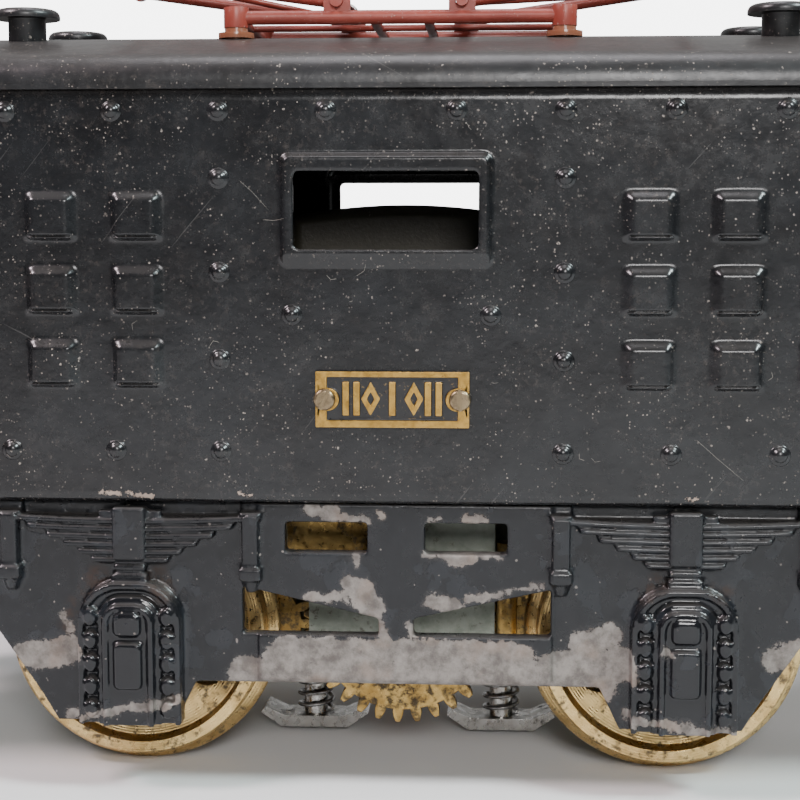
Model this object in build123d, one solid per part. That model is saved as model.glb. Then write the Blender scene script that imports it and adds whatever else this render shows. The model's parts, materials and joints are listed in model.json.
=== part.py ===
from build123d import *
import math
import os

os.makedirs("parts", exist_ok=True)

# A model electric locomotive for 32 mm gauge three-rail track, as separate pieces in millimetres.
# +X is the front, the near side faces -Y and +Z is up. The origin is on the surface that the wheel
# flanges stand on, midway between the axles. The mechanism is symmetrical about X = 0.

# Driving dimensions -----------------------------------------------------------------------------
wheelbase = 68.0
flange_r = 18.0
tread_r = 16.4
back_to_back = 28.0
wheel_width = 5.0
axle_r = 1.5
axle_z = flange_r

body_length = 164.0
body_width = 58.0
body_bottom = 36.6
body_top = 86.5
body_shift = -0.5  # the body sits this far back on the chassis
sheet = 0.8
corner_r = 3.0
roof_top = 95.0
roof_sheet = 1.2
crown_r = 90.0
eave_r = 4.0

floor_bottom = body_bottom + sheet + 0.1
floor_sheet = 1.2
clearance = 0.03  # radial, in every running fit

frame_outer = 27.2  # distance of the side frame's plain face from the centre
frame_inner = 25.2
frame_top = 36.4
guard_shift = 1.15  # the pattern's springs and axle boxes stand this far along the casting

plate_inner = 10.3  # motor side plates
plate_sheet = 1.2
plate_outer = plate_inner + plate_sheet
bracket_inner = 14.7
bracket_half = 12.1
bracket_sheet = 1.2

coarse = 0.8  # gear modules
fine = 0.5
axle_teeth, idler_teeth, centre_teeth = 22, 16, 31
lay_teeth, reduction_teeth, armature_teeth = 12, 44, 10
gear_width = 1.8
gear_near = -13.7  # near face of the gears outside the side plate
fine_near = -9.9  # near face of the gears inside it
stud_r = 1.0
shaft_r = 1.0

axle_x = wheelbase / 2
idler_x = axle_x - coarse * (axle_teeth + idler_teeth) / 2
lay_z = axle_z + coarse * (centre_teeth + lay_teeth) / 2
armature_z = lay_z + fine * (reduction_teeth + armature_teeth) / 2

coupler_z = 24.0
coupler_pivot_x = 76.0
coupler_reach = 20.0

pan_pivot_x = 8.0
pan_z = 98.8
pan_arm = 30.0
pan_fold_deg = 8.0  # each arm's slope when the pantograph is down

near, far = -1, 1
front, rear = 1, -1


# Drawing helpers --------------------------------------------------------------------------------
def slab(sketch, y_low, y_high):
    """A sketch of X and Z given depth from y_low to y_high."""
    return extrude(Plane.XZ.offset(-y_high) * sketch, amount=y_high - y_low, dir=(0, -1, 0))


def flat(sketch, z_low, z_high):
    """A sketch of X and Y given height from z_low to z_high."""
    return extrude(Plane.XY.offset(z_low) * sketch, amount=z_high - z_low, dir=(0, 0, 1))


def block(x, y, z):
    """A box from three pairs of limits."""
    size = [high - low for low, high in (x, y, z)]
    middle = [(high + low) / 2 for low, high in (x, y, z)]
    return Pos(*middle) * Box(*size)


def across(x, z, radius, y_low, y_high):
    """A cylinder along Y."""
    return Pos(x, (y_low + y_high) / 2, z) * Rot(90, 0, 0) * Cylinder(radius, y_high - y_low)


def along(y, z, radius, x_low, x_high):
    """A cylinder along X."""
    return Pos((x_low + x_high) / 2, y, z) * Rot(0, 90, 0) * Cylinder(radius, x_high - x_low)


def upright(x, y, radius, z_low, z_high):
    """A cylinder along Z."""
    return Pos(x, y, (z_low + z_high) / 2) * Cylinder(radius, z_high - z_low)


def bar(start, end, radius):
    """A round rod between two points."""
    a, b = Vector(*start), Vector(*end)
    plane = Plane(origin=a, z_dir=b - a)
    return extrude(plane * Circle(radius), amount=(b - a).length)


def rect(x, z, width, height, corner=0.0):
    """A rectangle centred at x and z, with round corners if asked."""
    shape = RectangleRounded(width, height, corner) if corner else Rectangle(width, height)
    return Pos(x, z) * shape


def coil_spring(radius, wire_r, length, turns):
    """A helical spring along Z, standing on Z = 0."""
    rise = length - 2 * wire_r
    path = Helix(pitch=rise / turns, height=rise, radius=radius)
    section = Plane(origin=path @ 0, z_dir=path % 0) * Circle(wire_r)
    return Pos(0, 0, wire_r) * sweep(section, path=path, is_frenet=True)


def opposite(shape):
    """The same piece turned half a turn about Z."""
    return Rot(0, 0, 180) * shape


def both_ends(make):
    """The front piece and the rear one, which is the front one turned round."""
    piece = make()
    return [piece, opposite(piece)]


def write(name, *solids):
    """One STEP for a node. Several solids are kept apart."""
    shape = solids[0] if len(solids) == 1 else Compound(children=list(solids))
    export_step(shape, f"parts/{name}.step")


# Gears ------------------------------------------------------------------------------------------
pressure = math.radians(20)


def involute(angle):
    return math.tan(angle) - angle


def gear_face(teeth, module):
    """An involute outline with one tooth's middle on the X axis, thinned for backlash."""
    pitch_r = teeth * module / 2
    base_r = pitch_r * math.cos(pressure)
    tip_r = pitch_r + 0.9 * module
    root_r = pitch_r - 1.2 * module
    backlash = 0.15 * module
    at_pitch = math.pi / (2 * teeth) - backlash / (4 * pitch_r)
    flank_r = max(base_r, root_r)

    def half(r):
        """Half the tooth's angle at radius r."""
        turn = involute(math.acos(min(1.0, base_r / r)))
        return at_pitch + involute(pressure) - turn

    def point(r, angle):
        return (r * math.cos(angle), r * math.sin(angle))

    edges = []
    steps = [flank_r + (tip_r - flank_r) * i / 4 for i in range(5)]
    for tooth in range(teeth):
        middle = 2 * math.pi * tooth / teeth
        after = middle + 2 * math.pi / teeth
        rising = [point(r, middle - half(r)) for r in steps]
        falling = [point(r, middle + half(r)) for r in reversed(steps)]
        root_here = point(root_r, middle + half(flank_r))
        root_next = point(root_r, after - half(flank_r))
        root_before = point(root_r, middle - half(flank_r))
        if root_r < flank_r - 1e-6:
            edges.append(Line(root_before, rising[0]))
        edges.append(Spline(*rising))
        edges.append(ThreePointArc(rising[-1], point(tip_r, middle), falling[0]))
        edges.append(Spline(*falling))
        if root_r < flank_r - 1e-6:
            edges.append(Line(falling[-1], root_here))
        edges.append(ThreePointArc(root_here, point(root_r, middle + math.pi / teeth), root_next))
    return Face(Wire(edges))


def gear(teeth, module, x, z, tooth_deg, y_low, bore_r, hub_r=0.0, hub_high=0.0):
    """A gear on an axis along Y with a tooth at tooth_deg, measured from +X towards +Z."""
    face = Pos(x, z) * Rot(0, 0, tooth_deg) * gear_face(teeth, module)
    made = slab(face, y_low, y_low + gear_width)
    if hub_r:
        made += across(x, z, hub_r, y_low + gear_width, hub_high)
    return made - across(x, z, bore_r, y_low - 1, max(y_low + gear_width, hub_high) + 1)


def meshed(teeth, toward_deg, driver_teeth, driver_tooth_deg):
    """The tooth angle of a gear that lies toward_deg from its driver, so that the two mesh."""
    pitch_driver = 360 / driver_teeth
    pitch = 360 / teeth
    share = ((toward_deg - driver_tooth_deg) % pitch_driver) / pitch_driver
    return toward_deg + 180 + (share + 0.5) * pitch


# Gear train: each tooth angle follows from the gear before it, starting at the front axle.
axle_front_deg = 180.0
idler_front_deg = meshed(idler_teeth, 180, axle_teeth, axle_front_deg)
centre_deg = meshed(centre_teeth, 180, idler_teeth, idler_front_deg)
idler_rear_deg = meshed(idler_teeth, 180, centre_teeth, centre_deg)
axle_rear_deg = meshed(axle_teeth, 180, idler_teeth, idler_rear_deg)
lay_deg = meshed(lay_teeth, 90, centre_teeth, centre_deg)
reduction_deg = 90.0
armature_deg = meshed(armature_teeth, 90, reduction_teeth, reduction_deg)


# Body shell -------------------------------------------------------------------------------------
window_x, window_z = -0.6, 72.15
window_w, window_h = 22.2, 9.3
window_proud = 0.9
door_x = 72.0
door_w, door_low, door_high = 11.0, 39.5, 81.5
door_window_w = 7.0
louvre_columns = [30.75 + 10.45 * i for i in range(3)]
louvre_rows = [53.7 + 8.9 * i for i in range(3)]
louvre_w, louvre_h = 6.75, 6.3
louvre_proud = 0.85
rivet_pitch = 12.9
rivet_column_x = 20.7
rivet_column = [43.0, 54.2, 64.7, 75.9]
rivet_r, rivet_sink = 0.95, 0.4
plate_x, plate_z = 0.2, 49.5  # number plate, from the body's centre
plate_w, plate_h, plate_t = 18.5, 6.8, 0.8
plate_screw_x = 8.15
plate_screw_r = 0.7


def rivet(x, y, z, turn):
    """A round rivet head, its poles turned to stand out of the wall."""
    return Pos(x, y, z) * turn * Sphere(rivet_r)


def rivet_spots():
    """Where rivets are, as distances from the body's centre and heights."""
    spots = [(side * rivet_column_x, z) for side in (-1, 1) for z in rivet_column]
    spots += [(side * 11.95, 59.6) for side in (-1, 1)]
    low_row = [rivet_column_x + rivet_pitch * i for i in (1, 2, 3)]
    spots += [(side * x, rivet_column[0]) for side in (-1, 1) for x in low_row]
    top_row = [7.8 + rivet_pitch * i for i in range(5)]
    spots += [(side * x, 83.9) for side in (-1, 1) for x in top_row]
    spots += [(side * 59.4, z) for side in (-1, 1) for z in rivet_column[1:]]
    return spots


def proud_panel(x, z, width, height, proud, corner):
    """A pressing with sloping sides that stands out of the near side."""
    base = Plane.XZ.offset(body_width / 2) * rect(x, z, width, height, corner)
    return extrude(base, amount=proud, taper=42)


def pocket(x, z, width, height, depth):
    """The hollow behind a pressing, open to the inside of the near side."""
    inside = body_width / 2 - sheet
    base = Plane.XZ.offset(inside) * rect(x, z, width, height)
    return extrude(base, amount=depth, taper=42)


def side_panel():
    """The near side, with round corners, a bottom lip, windows, louvres and rivets."""
    half, outer = body_length / 2, body_width / 2
    shape = rect(0, 0, body_length, body_width, corner_r)
    hollow = rect(0, 0, body_length - 2 * sheet, body_width - 2 * sheet, corner_r - sheet)
    strip = Pos(0, -outer) * Rectangle(body_length + 2, 2 * corner_r)
    wall = flat((shape - hollow) & strip, body_bottom, body_top)
    lip = block((-half + 4, half - 4), (-outer, -outer + 3), (body_bottom, body_bottom + sheet))
    wall += lip
    lower = wall.edges().filter_by(Axis.X).sort_by_distance(Vector(0, -outer, body_bottom))[0]
    wall = fillet(lower, 0.7)
    wall += proud_panel(window_x, window_z, window_w + 3.7, window_h + 4.6, window_proud, 0.9)
    for x, z in rivet_spots():
        wall += rivet(x, -outer + rivet_sink, z, Rot(90, 0, 0))
    for side in (-1, 1):
        wall += proud_panel(side * door_x, window_z, door_window_w + 2.6, window_h + 2.6, 0.6, 0.9)
        for x in louvre_columns:
            for z in louvre_rows:
                wall += proud_panel(side * x, z, louvre_w, louvre_h, louvre_proud, 0.5)
                wall -= pocket(side * x, z, louvre_w - 1.4, louvre_h - 1.4, louvre_proud)
        edge = rect(side * door_x, (door_low + door_high) / 2, door_w, door_high - door_low, 0.8)
        line = rect(side * door_x, (door_low + door_high) / 2, door_w - 1, door_high - door_low - 1, 0.5)
        wall -= slab(edge - line, -outer - 0.1, -outer + 0.25)
        wall -= slab(rect(side * door_x, window_z, door_window_w, window_h, 0.8), -outer - 2, -outer + 2)
        x = plate_x + side * plate_screw_x
        wall -= across(x, plate_z, plate_screw_r + clearance, -outer - 1, -outer + 1)
        for low in (-6.9, 6.9):
            for z in (rail_low, rail_high):
                wall -= across(side * door_x + low, z, rail_r, -outer - 1, -outer + 1)
    wall -= slab(rect(window_x, window_z, window_w, window_h, 0.8), -outer - 2, -outer + 2)
    for x in (-floor_screw_x, floor_screw_x):
        wall -= upright(x - body_shift, -floor_screw_y, screw_r + 0.1, body_bottom - 1, floor_bottom)
    return Pos(body_shift, 0, 0) * wall


def end_panel():
    """The front end, flat between the round corners, with three windows."""
    half = body_length / 2
    width = body_width - 2 * corner_r
    wall = block((half - sheet, half), (-width / 2, width / 2), (body_bottom, body_top))
    for y, w in ((-16, 11.0), (0, 9.0), (16, 11.0)):
        frame = Plane.YZ.offset(half) * rect(y, window_z, w + 2.6, window_h + 2.6, 0.9)
        wall += extrude(frame, amount=0.6, taper=42)
        wall -= extrude(Plane.YZ.offset(half - 2) * rect(y, window_z, w, window_h, 0.8), amount=4)
    for y in (-22.5, -12, 12, 22.5):
        for z in (43.0, 62.0):
            wall += rivet(half - rivet_sink, y, z, Rot(0, 90, 0))
    return wall


def roof_profile(inset):
    """Half the roof's section, from the eaves to the crown, moved in by inset."""
    eave, round_r, long_r = 29.6 - inset, eave_r - inset, crown_r - inset
    top = roof_top - inset
    crown_z = top - long_r
    centre_y = eave - round_r
    reach = long_r - round_r
    centre_z = crown_z + math.sqrt(reach**2 - centre_y**2)
    touch = Vector(centre_y, centre_z) + Vector(centre_y, centre_z - crown_z).normalized() * round_r
    middle = Vector(centre_y, centre_z) + Vector(1, 0.8).normalized() * round_r
    crown_mid_y = touch.X / 2
    crown_mid = (crown_mid_y, crown_z + math.sqrt(long_r**2 - crown_mid_y**2))
    right = [
        Line((eave, body_top), (eave, centre_z)),
        ThreePointArc((eave, centre_z), (middle.X, middle.Y), (touch.X, touch.Y)),
        ThreePointArc((touch.X, touch.Y), crown_mid, (0, top)),
    ]
    left = [edge.mirror(Plane.YZ) for edge in right]
    base = Line((-eave, body_top), (eave, body_top))
    return Face(Wire([base, *right, *left]))


def roof_height(y):
    """The roof's top surface above a distance from the centre line."""
    return roof_top - crown_r + math.sqrt(crown_r**2 - y**2)


def roof():
    """The pressed roof, with rounded ends, four tabs and holes for what stands on it."""
    half = body_length / 2 + 0.8
    outer = extrude(Plane.YZ.offset(-half) * roof_profile(0), amount=2 * half)
    ends = [e for e in outer.edges() if abs(abs(e.center().X) - half) < 0.01]
    ends = [e for e in ends if e.center().Z > body_top + 0.5]
    outer = fillet(ends, 3.0)
    hollow = half - roof_sheet
    inner = extrude(Plane.YZ.offset(-hollow) * roof_profile(roof_sheet), amount=2 * hollow)
    ends = [e for e in inner.edges() if abs(abs(e.center().X) - hollow) < 0.01]
    ends = [e for e in ends if e.center().Z > body_top + 0.5]
    shell = outer - fillet(ends, 2.0)
    for x in (-53, 53):
        for side in (-1, 1):
            y = side * (body_width / 2 - sheet - 0.55)
            shell += block((x - 4, x + 4), (y - 0.5, y + 0.5), (body_top - 4, body_top + 3.0))
    return Pos(body_shift, 0, 0) * shell


def number_plate():
    """A plate for the near side: a raised rim, and bars and lozenges on a sunk field."""
    outer = body_width / 2
    plate = slab(rect(plate_x, plate_z, plate_w, plate_h), -outer - plate_t, -outer)
    field = rect(plate_x, plate_z + 0.1, plate_w - 2.7, plate_h - 1.6)
    plate -= slab(field, -outer - plate_t - 1, -outer - plate_t + 0.35)
    marks = plate_marks()
    plate += slab(marks, -outer - plate_t + 0.05, -outer - 0.2)
    for side in (-1, 1):
        x = plate_x + side * plate_screw_x
        plate += across(x - side * 0.35, plate_z, 1.4, -outer - plate_t, -outer)
        plate -= across(x, plate_z, plate_screw_r + 0.05, -outer - 2, -outer + 1)
    return Pos(body_shift, 0, 0) * plate


def plate_marks():
    """Five plain marks: lozenges between pairs of bars."""
    z, tall = plate_z + 0.1, 4.1
    lozenge = Polygon((-1.15, 0), (0, -tall / 2), (1.15, 0), (0, tall / 2), align=None)
    hole = Polygon((-0.45, 0), (0, -0.85), (0.45, 0), (0, 0.85), align=None)
    marks = [Pos(plate_x + x, z) * (lozenge - hole) for x in (-2.6, 2.6)]
    marks += [rect(plate_x + x, z, 0.8, tall) for x in (-5.6, -4.3, 0, 4.3, 5.6)]
    whole = marks[0]
    for mark in marks[1:]:
        whole += mark
    return whole


def slotted_screw(head_r, head_h, shank_r, length, slot=0.45):
    """A domed, slotted screw along Z, its head's underside at Z = 0."""
    head = Cylinder(head_r, head_h, align=(Align.CENTER, Align.CENTER, Align.MIN))
    head = fillet(head.edges().group_by(Axis.Z)[-1], head_h * 0.6)
    head -= Pos(0, 0, head_h) * Box(3 * head_r, slot, head_h * 0.9)
    return head + Pos(0, 0, -length / 2) * Cylinder(shank_r, length)


def plate_screws():
    """Two screws for the near plate, their slots at the angles they were left."""
    screws = []
    for side, turn in ((-1, 65), (1, 92)):
        place = Pos(body_shift + plate_x + side * plate_screw_x, -body_width / 2 - plate_t, plate_z)
        screws.append(place * Rot(90, 0, 0) * Rot(0, 0, turn) * slotted_screw(1.32, 0.75, plate_screw_r, 2.6))
    return screws


rail_low, rail_high, rail_r = 45.0, 66.0, 0.45


def door_rail(x, side):
    """One bent wire handrail beside a door."""
    wall, out = side * body_width / 2, side * (body_width / 2 + 1.8)
    foot = wall - side * sheet
    corners = [(x, foot, rail_low), (x, out, rail_low), (x, out, rail_high), (x, foot, rail_high)]
    path = FilletPolyline(*corners, radius=0.8)
    profile = Plane(origin=path @ 0, z_dir=path % 0) * Circle(rail_r - 0.02)
    return sweep(profile, path=path)


def handrails():
    return [
        door_rail(body_shift + end * door_x + low, side)
        for end in (rear, front)
        for low in (-6.9, 6.9)
        for side in (near, far)
    ]


# Roof fittings ----------------------------------------------------------------------------------
light_x, light_z, light_r = 71.0, 99.5, 5.2


def headlight():
    """The front headlight's housing on its foot, open to the front."""
    shell = along(0, light_z, light_r, light_x - 6, light_x + 5)
    back = [e for e in shell.edges().filter_by(GeomType.CIRCLE) if e.center().X < light_x]
    shell = fillet(back, 2.6)
    shell += along(0, light_z, light_r + 0.5, light_x + 3.8, light_x + 5.4)
    shell += block((light_x - 3.5, light_x + 2.5), (-3, 3), (roof_top + 0.5, light_z - 2))
    shell += block((light_x - 5.5, light_x + 4.5), (-4.5, 4.5), (roof_height(6), roof_top + 1))
    shell -= along(0, light_z, light_r - 0.8, light_x - 4.5, light_x + 6)
    crown = along(0, roof_top - crown_r, crown_r, light_x - 8, light_x + 8)
    return Pos(body_shift, 0, 0) * (shell - crown)


def headlight_lens():
    """A glass with a rounded front edge, in the housing's mouth."""
    glass = along(0, light_z, light_r - 0.8, light_x + 3.4, light_x + 4.9)
    edge = [e for e in glass.edges().filter_by(GeomType.CIRCLE) if e.center().X > light_x + 4]
    return Pos(body_shift, 0, 0) * fillet(edge, 1.0)


def headlight_bulb():
    """A small glass bulb in its threaded cap, held in the housing's back."""
    bulb = Pos(light_x, 0, light_z) * Sphere(2.0)
    cap = along(0, light_z, 1.5, light_x - 4.5, light_x - 0.8)
    return Pos(body_shift, 0, 0) * (bulb + cap)


def on_body_ends(make):
    """The front piece, and the same piece at the rear end of the shifted body."""
    piece = make()
    turned = Pos(2 * body_shift, 0, 0) * opposite(piece)
    return [piece, turned]


def ventilator(x, y):
    """A round mushroom ventilator standing on the roof."""
    top = roof_height(abs(y)) + 3.8
    stem = upright(x, y, 2.4, roof_height(abs(y) + 3) - 0.3, top - 1)
    cap = upright(x, y, 4.2, top - 1.2, top)
    cap = fillet(cap.edges().filter_by(GeomType.CIRCLE).group_by(Axis.Z)[-1], 0.9)
    under = extrude(Plane.YZ.offset(x - 6) * roof_profile(0), amount=12)
    return Pos(body_shift, 0, 0) * (stem + cap - under)


# Pantograph -------------------------------------------------------------------------------------
pan_frame_half_x, pan_frame_half_y = 21.0, 12.0
pan_tube = 0.9
pan_shaft_r = 0.8
pan_knuckle_r = 0.7
pan_head_r = 0.6
pan_lower_y, pan_upper_y, pan_head_y = 9.5, 7.6, 5.5


def pantograph_base():
    """The fixed frame, with crossed members and ears that carry the two lower shafts."""
    z = pan_z - 2.0
    x, y = pan_frame_half_x, pan_frame_half_y
    frame = along(-y, z, pan_tube, -x, x) + along(y, z, pan_tube, -x, x) + along(0, z, 0.45, -x, x)
    for place in (-x, -3.5, 3.5, x):
        frame += across(place, z, 0.65, -y, y)
    for place in (-pan_pivot_x, pan_pivot_x):
        for side in (-1, 1):
            inner, outer = sorted((side * (y - 0.6), side * (y + 0.6)))
            ear = slab(rect(place, z + 0.6, 3.4, 2.6), inner, outer)
            ear += across(place, pan_z, 1.7, inner, outer)
            frame += ear
    for corner_x in (-x, x):
        for corner_y in (-y, y):
            frame += upright(corner_x, corner_y, 1.6, z - 1.3, z + 1.3)
    for place in (-pan_pivot_x, pan_pivot_x):
        frame -= across(place, pan_z, pan_shaft_r + clearance, -y - 2, y + 2)
    return Pos(body_shift, 0, 0) * frame


def insulator(x, y):
    """A ribbed porcelain post between the roof and the pantograph's frame."""
    top = pan_z - 2.0 - 1.3
    low = roof_height(abs(y) + 2) - 0.5
    post = upright(x, y, 1.5, low, top)
    for z in (top - 2.2, top - 1.0):
        post += upright(x, y, 2.3, z - 0.35, z + 0.35)
    under = extrude(Plane.YZ.offset(x - 6) * roof_profile(0), amount=12)
    return Pos(body_shift, 0, 0) * (post - under)


def pan_points(angle_deg):
    """The knuckle and the head pivot of the front arms at a slope."""
    rise = pan_arm * math.sin(math.radians(angle_deg))
    knuckle = (pan_pivot_x + pan_arm * math.cos(math.radians(angle_deg)), pan_z + rise)
    return knuckle, (pan_pivot_x, pan_z + 2 * rise)


knuckle_at, head_at = pan_points(pan_fold_deg)


def lower_arm():
    """The front lower arm: its shaft, two tubes with a brace, and the knuckle shaft."""
    kx, kz = knuckle_at
    y = pan_lower_y
    arm = across(pan_pivot_x, pan_z, pan_shaft_r, -pan_frame_half_y - 1.4, pan_frame_half_y + 1.4)
    arm += across(kx, kz, pan_knuckle_r, -y - 0.8, y + 0.8)
    for side in (-1, 1):
        arm += bar((pan_pivot_x, side * (y + 0.6), pan_z), (kx, side * y, kz), 0.75)
    short = 4 * math.tan(math.radians(pan_fold_deg))
    arm += bar((pan_pivot_x, -y, pan_z), (kx - 4, y - 0.5, kz - short), 0.45)
    return Pos(body_shift, 0, 0) * arm


def upper_arm():
    """The front upper arm: four eyes, two slender tubes and a brace."""
    (kx, kz), (hx, hz) = knuckle_at, head_at
    slope = math.tan(math.radians(pan_fold_deg))
    arm = None
    for side in (-1, 1):
        inner, outer = sorted((side * (pan_upper_y - 0.6), side * (pan_upper_y + 0.6)))
        eye = across(kx, kz, 1.35, inner, outer)
        tube = bar((kx - 1, side * pan_upper_y, kz + slope), (hx + 1, side * pan_head_y, hz - slope), 0.5)
        inner, outer = sorted((side * (pan_head_y - 0.5), side * (pan_head_y + 0.5)))
        half_arm = eye + tube + across(hx, hz, 1.15, inner, outer)
        arm = half_arm if arm is None else arm + half_arm
    for near_share, far_share in ((0.15, 0.5), (0.5, 0.85)):
        arm += upper_brace(near_share, far_share)
    arm -= across(kx, kz, pan_knuckle_r + clearance, -12, 12)
    arm -= across(hx, hz, pan_head_r + clearance, -12, 12)
    return Pos(body_shift, 0, 0) * arm


def upper_brace(start, end):
    """A wire across the upper arm from one tube to the other, at shares of its length."""

    def at(share, side):
        (kx, kz), (hx, hz) = knuckle_at, head_at
        y = pan_upper_y + (pan_head_y - pan_upper_y) * share
        return (kx + (hx - kx) * share, side * y, kz + (hz - kz) * share)

    return bar(at(start, -1), at(end, 1), 0.3)


def pan_head():
    """The collector head: two strips with horns on a frame with two pivot shafts."""
    hx, hz = head_at
    top = hz + 2.6
    head = None
    for side in (-1, 1):
        x = side * 3.4
        strip = block((x - 1.0, x + 1.0), (-14, 14), (top - 0.9, top + 0.3))
        for end in (-1, 1):
            tip = (x, end * 19.0, top - 3.4)
            strip += bar((x, end * 13.6, top - 0.3), tip, 0.55) + Pos(*tip) * Sphere(0.55)
        head = strip if head is None else head + strip
    for y in (-3.6, 3.6):
        head += block((-hx - 1.1, hx + 1.1), (y - 0.5, y + 0.5), (hz - 0.9, hz + 0.9))
        head += block((-4.4, 4.4), (y - 0.5, y + 0.5), (hz, top - 0.5))
    for x in (-hx, hx):
        head += across(x, hz, pan_head_r, -pan_head_y - 1.2, pan_head_y + 1.2)
    return Pos(body_shift, 0, 0) * head


def pan_springs():
    """Torsion springs round the two lower shafts, each with a leg on the frame."""
    springs = []
    for place in (-pan_pivot_x, pan_pivot_x):
        springs.append(Pos(body_shift + place, 6.5, pan_z) * Rot(90, 0, 0) * coil_spring(1.35, 0.25, 5.0, 7))
    return springs


# Chassis ----------------------------------------------------------------------------------------
screw_r = 1.0
floor_screw_x, floor_screw_y = 69.0, 27.0
pad_places = (14.0, 52.0)
pad_y = 22.8
opening_x = 24.0
opening_near, opening_far = -17.6, 13.6
lever_x, lever_z = -58.0, 34.6


def floor_plate():
    """The steel floor inside the body, cut out for the mechanism, with ears for the lever."""
    plate = flat(rect(0, 0, 160, body_width - 2 * sheet - 0.3, 2.0), floor_bottom, floor_bottom + floor_sheet)
    plate -= block((-opening_x, opening_x), (opening_near, opening_far), (30, 45))
    for x in pad_places:
        for end in (-1, 1):
            for side in (-1, 1):
                plate -= upright(end * x, side * pad_y, screw_r + 0.1, 30, 45)
    for x in (-floor_screw_x, floor_screw_x):
        for y in (-floor_screw_y, floor_screw_y):
            plate -= upright(x, y, screw_r, 30, 45)
    for x in (-beam_screw_x, beam_screw_x):
        for y in (-beam_screw_y, beam_screw_y):
            plate -= upright(x, y, screw_r + 0.1, 30, 45)
    for low in (-2.2, 1.0):
        ear = block((lever_x - 2.5, lever_x + 2.5), (low, low + 1.2), (lever_z - 2, floor_bottom + 0.2))
        plate += fillet(ear.edges().filter_by(Axis.Y).group_by(Axis.Z)[0], 1.8)
    plate -= across(lever_x, lever_z, 1.0, -5, 5)
    return plate


def reverse_lever():
    """The reversing lever under the floor, with its own pivot and a round knob."""
    arm = slab(rect(lever_x, lever_z - 6, 3.0, 12, 1.4), -0.6, 0.6)
    arm += across(lever_x, lever_z, 1.9, -0.8, 0.8)
    arm += across(lever_x, lever_z, 1.0 - clearance, -2.6, 2.6)
    return arm + across(lever_x, lever_z - 12.5, 2.0, -2.4, 2.4)


beam_screw_x, beam_screw_y = 74.0, 12.0


def end_beam():
    """The front beam casting, with a coupler slot, a web under the floor and two steps."""
    plate = block((81.2, 84.2), (-26.5, 26.5), (24.5, 36.2))
    plate = fillet(plate.edges().filter_by(Axis.X).group_by(Axis.Z)[0], 3.0)
    web = block((69.0, 82.0), (-16, 16), (34.2, 36.2)) + block((70.0, 78.0), (-15, 15), (36.2, floor_bottom))
    beam = plate + web
    beam -= block((80, 86), (-7.5, 7.5), (20, 28.6))
    beam += upright(coupler_pivot_x, 0, 4.0, coupler_z + 1.65, 35)
    beam -= upright(coupler_pivot_x, 0, pin_r, 20, 33)
    for side in (-1, 1):
        step = block((73.5, 83.5), *[sorted((side * 20.5, side * 27.0))], (14.0, 15.4))
        for x in (74.2, 82.8):
            step += block((x - 0.7, x + 0.7), sorted((side * 20.5, side * 22.0)), (14.5, 35.0))
        step += block((73.5, 83.5), sorted((side * 20.5, side * 22.0)), (31.5, 35.0))
        step += block((74, 82), sorted((side * 14, side * 22.0)), (34.2, 36.2))
        step += block((73.5, 83.5), sorted((side * 25.8, side * 27.0)), (15.4, 16.4))
        beam += step
        beam -= upright(beam_screw_x, side * beam_screw_y, screw_r, 30, 40)
        beam += along(side * 17, 30.4, 1.5, 84.2, 85.2)
    return beam


pin_r = 1.5
drop_r = 1.1
coupler_gap = 3.0


def coupler():
    """The front drawbar: an eye on the pivot pin, a shank, and jaws for a link and drop pin."""
    x, tip = coupler_pivot_x, coupler_pivot_x + coupler_reach
    low, high = coupler_z - 1.6, coupler_z + 1.6
    bar_shape = upright(x, 0, 3.6, low, high) + block((x, tip - 4), (-2.2, 2.2), (low, high))
    jaw = flat(rect(tip - 3.4, 0, 8.8, 9.0, 3.0), coupler_z - 4, coupler_z + 4)
    jaw -= block((tip - 5.6, tip + 3), (-6, 6), (coupler_z - coupler_gap / 2, coupler_z + coupler_gap / 2))
    made = bar_shape + jaw
    made -= upright(x, 0, pin_r + clearance, low - 1, high + 1)
    return made - upright(tip - 2.6, 0, drop_r, coupler_z - 6, coupler_z + 6)


def coupler_pin():
    """A headed pin, driven into the beam's boss, that holds the drawbar."""
    x, low = coupler_pivot_x, coupler_z - 1.65
    return upright(x, 0, pin_r, low, 33) + upright(x, 0, 2.6, low - 1.2, low)


spring_leaves = [14.6, 12.9, 10.6, 8.5, 6.6, 5.0]  # half lengths, top leaf first
leaf_pitch, leaf_t = 0.97, 0.6
leaf_top, leaf_rise = 34.4, 0.45  # the top leaf at the buckle, and how far its ends rise
panel_x, panel_w, panel_low = 1.05, 36.1, 14.2  # the side frame's raised middle
hanger_reach = 15.0
box_w, box_top, box_low = 12.8, 26.6, 8.8


def frame_outline():
    """The side frame casting's outline, from the top left corner clockwise."""
    upper = [(-63, frame_top), (63, frame_top)]
    right = [(63, 28.5), (54, 26.0), (44.5, 12.0), (42.5, 8.6), (27.5, 8.6), (25.0, 13.8)]
    left = [(-25.0, 13.8), (-27.5, 8.6), (-42.5, 8.6), (-44.5, 12.0), (-54, 26.0), (-63, 28.5)]
    return Polygon(*upper, *right, *left, align=None)


def frame_openings():
    """The two upper oblongs and the two lower openings with sloping tops."""
    shapes = []
    for side in (-1, 1):
        shapes.append(rect(side * 8.6, 32.2, 10.1, 3.8, 0.3))
        corners = [(side * 2.15, 20.0), (side * 19.0, 20.0), (side * 19.0, 26.0), (side * 2.15, 22.2)]
        shapes.append(Polygon(*corners, align=None))
    return shapes


def arch(x, width, low, high, radius):
    """A panel with a flat foot and round shoulders."""
    shape = rect(x, (low + high) / 2, width, high - low)
    shoulders = shape.vertices().group_by(Axis.Y)[-1]
    return fillet(shoulders, radius)


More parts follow.
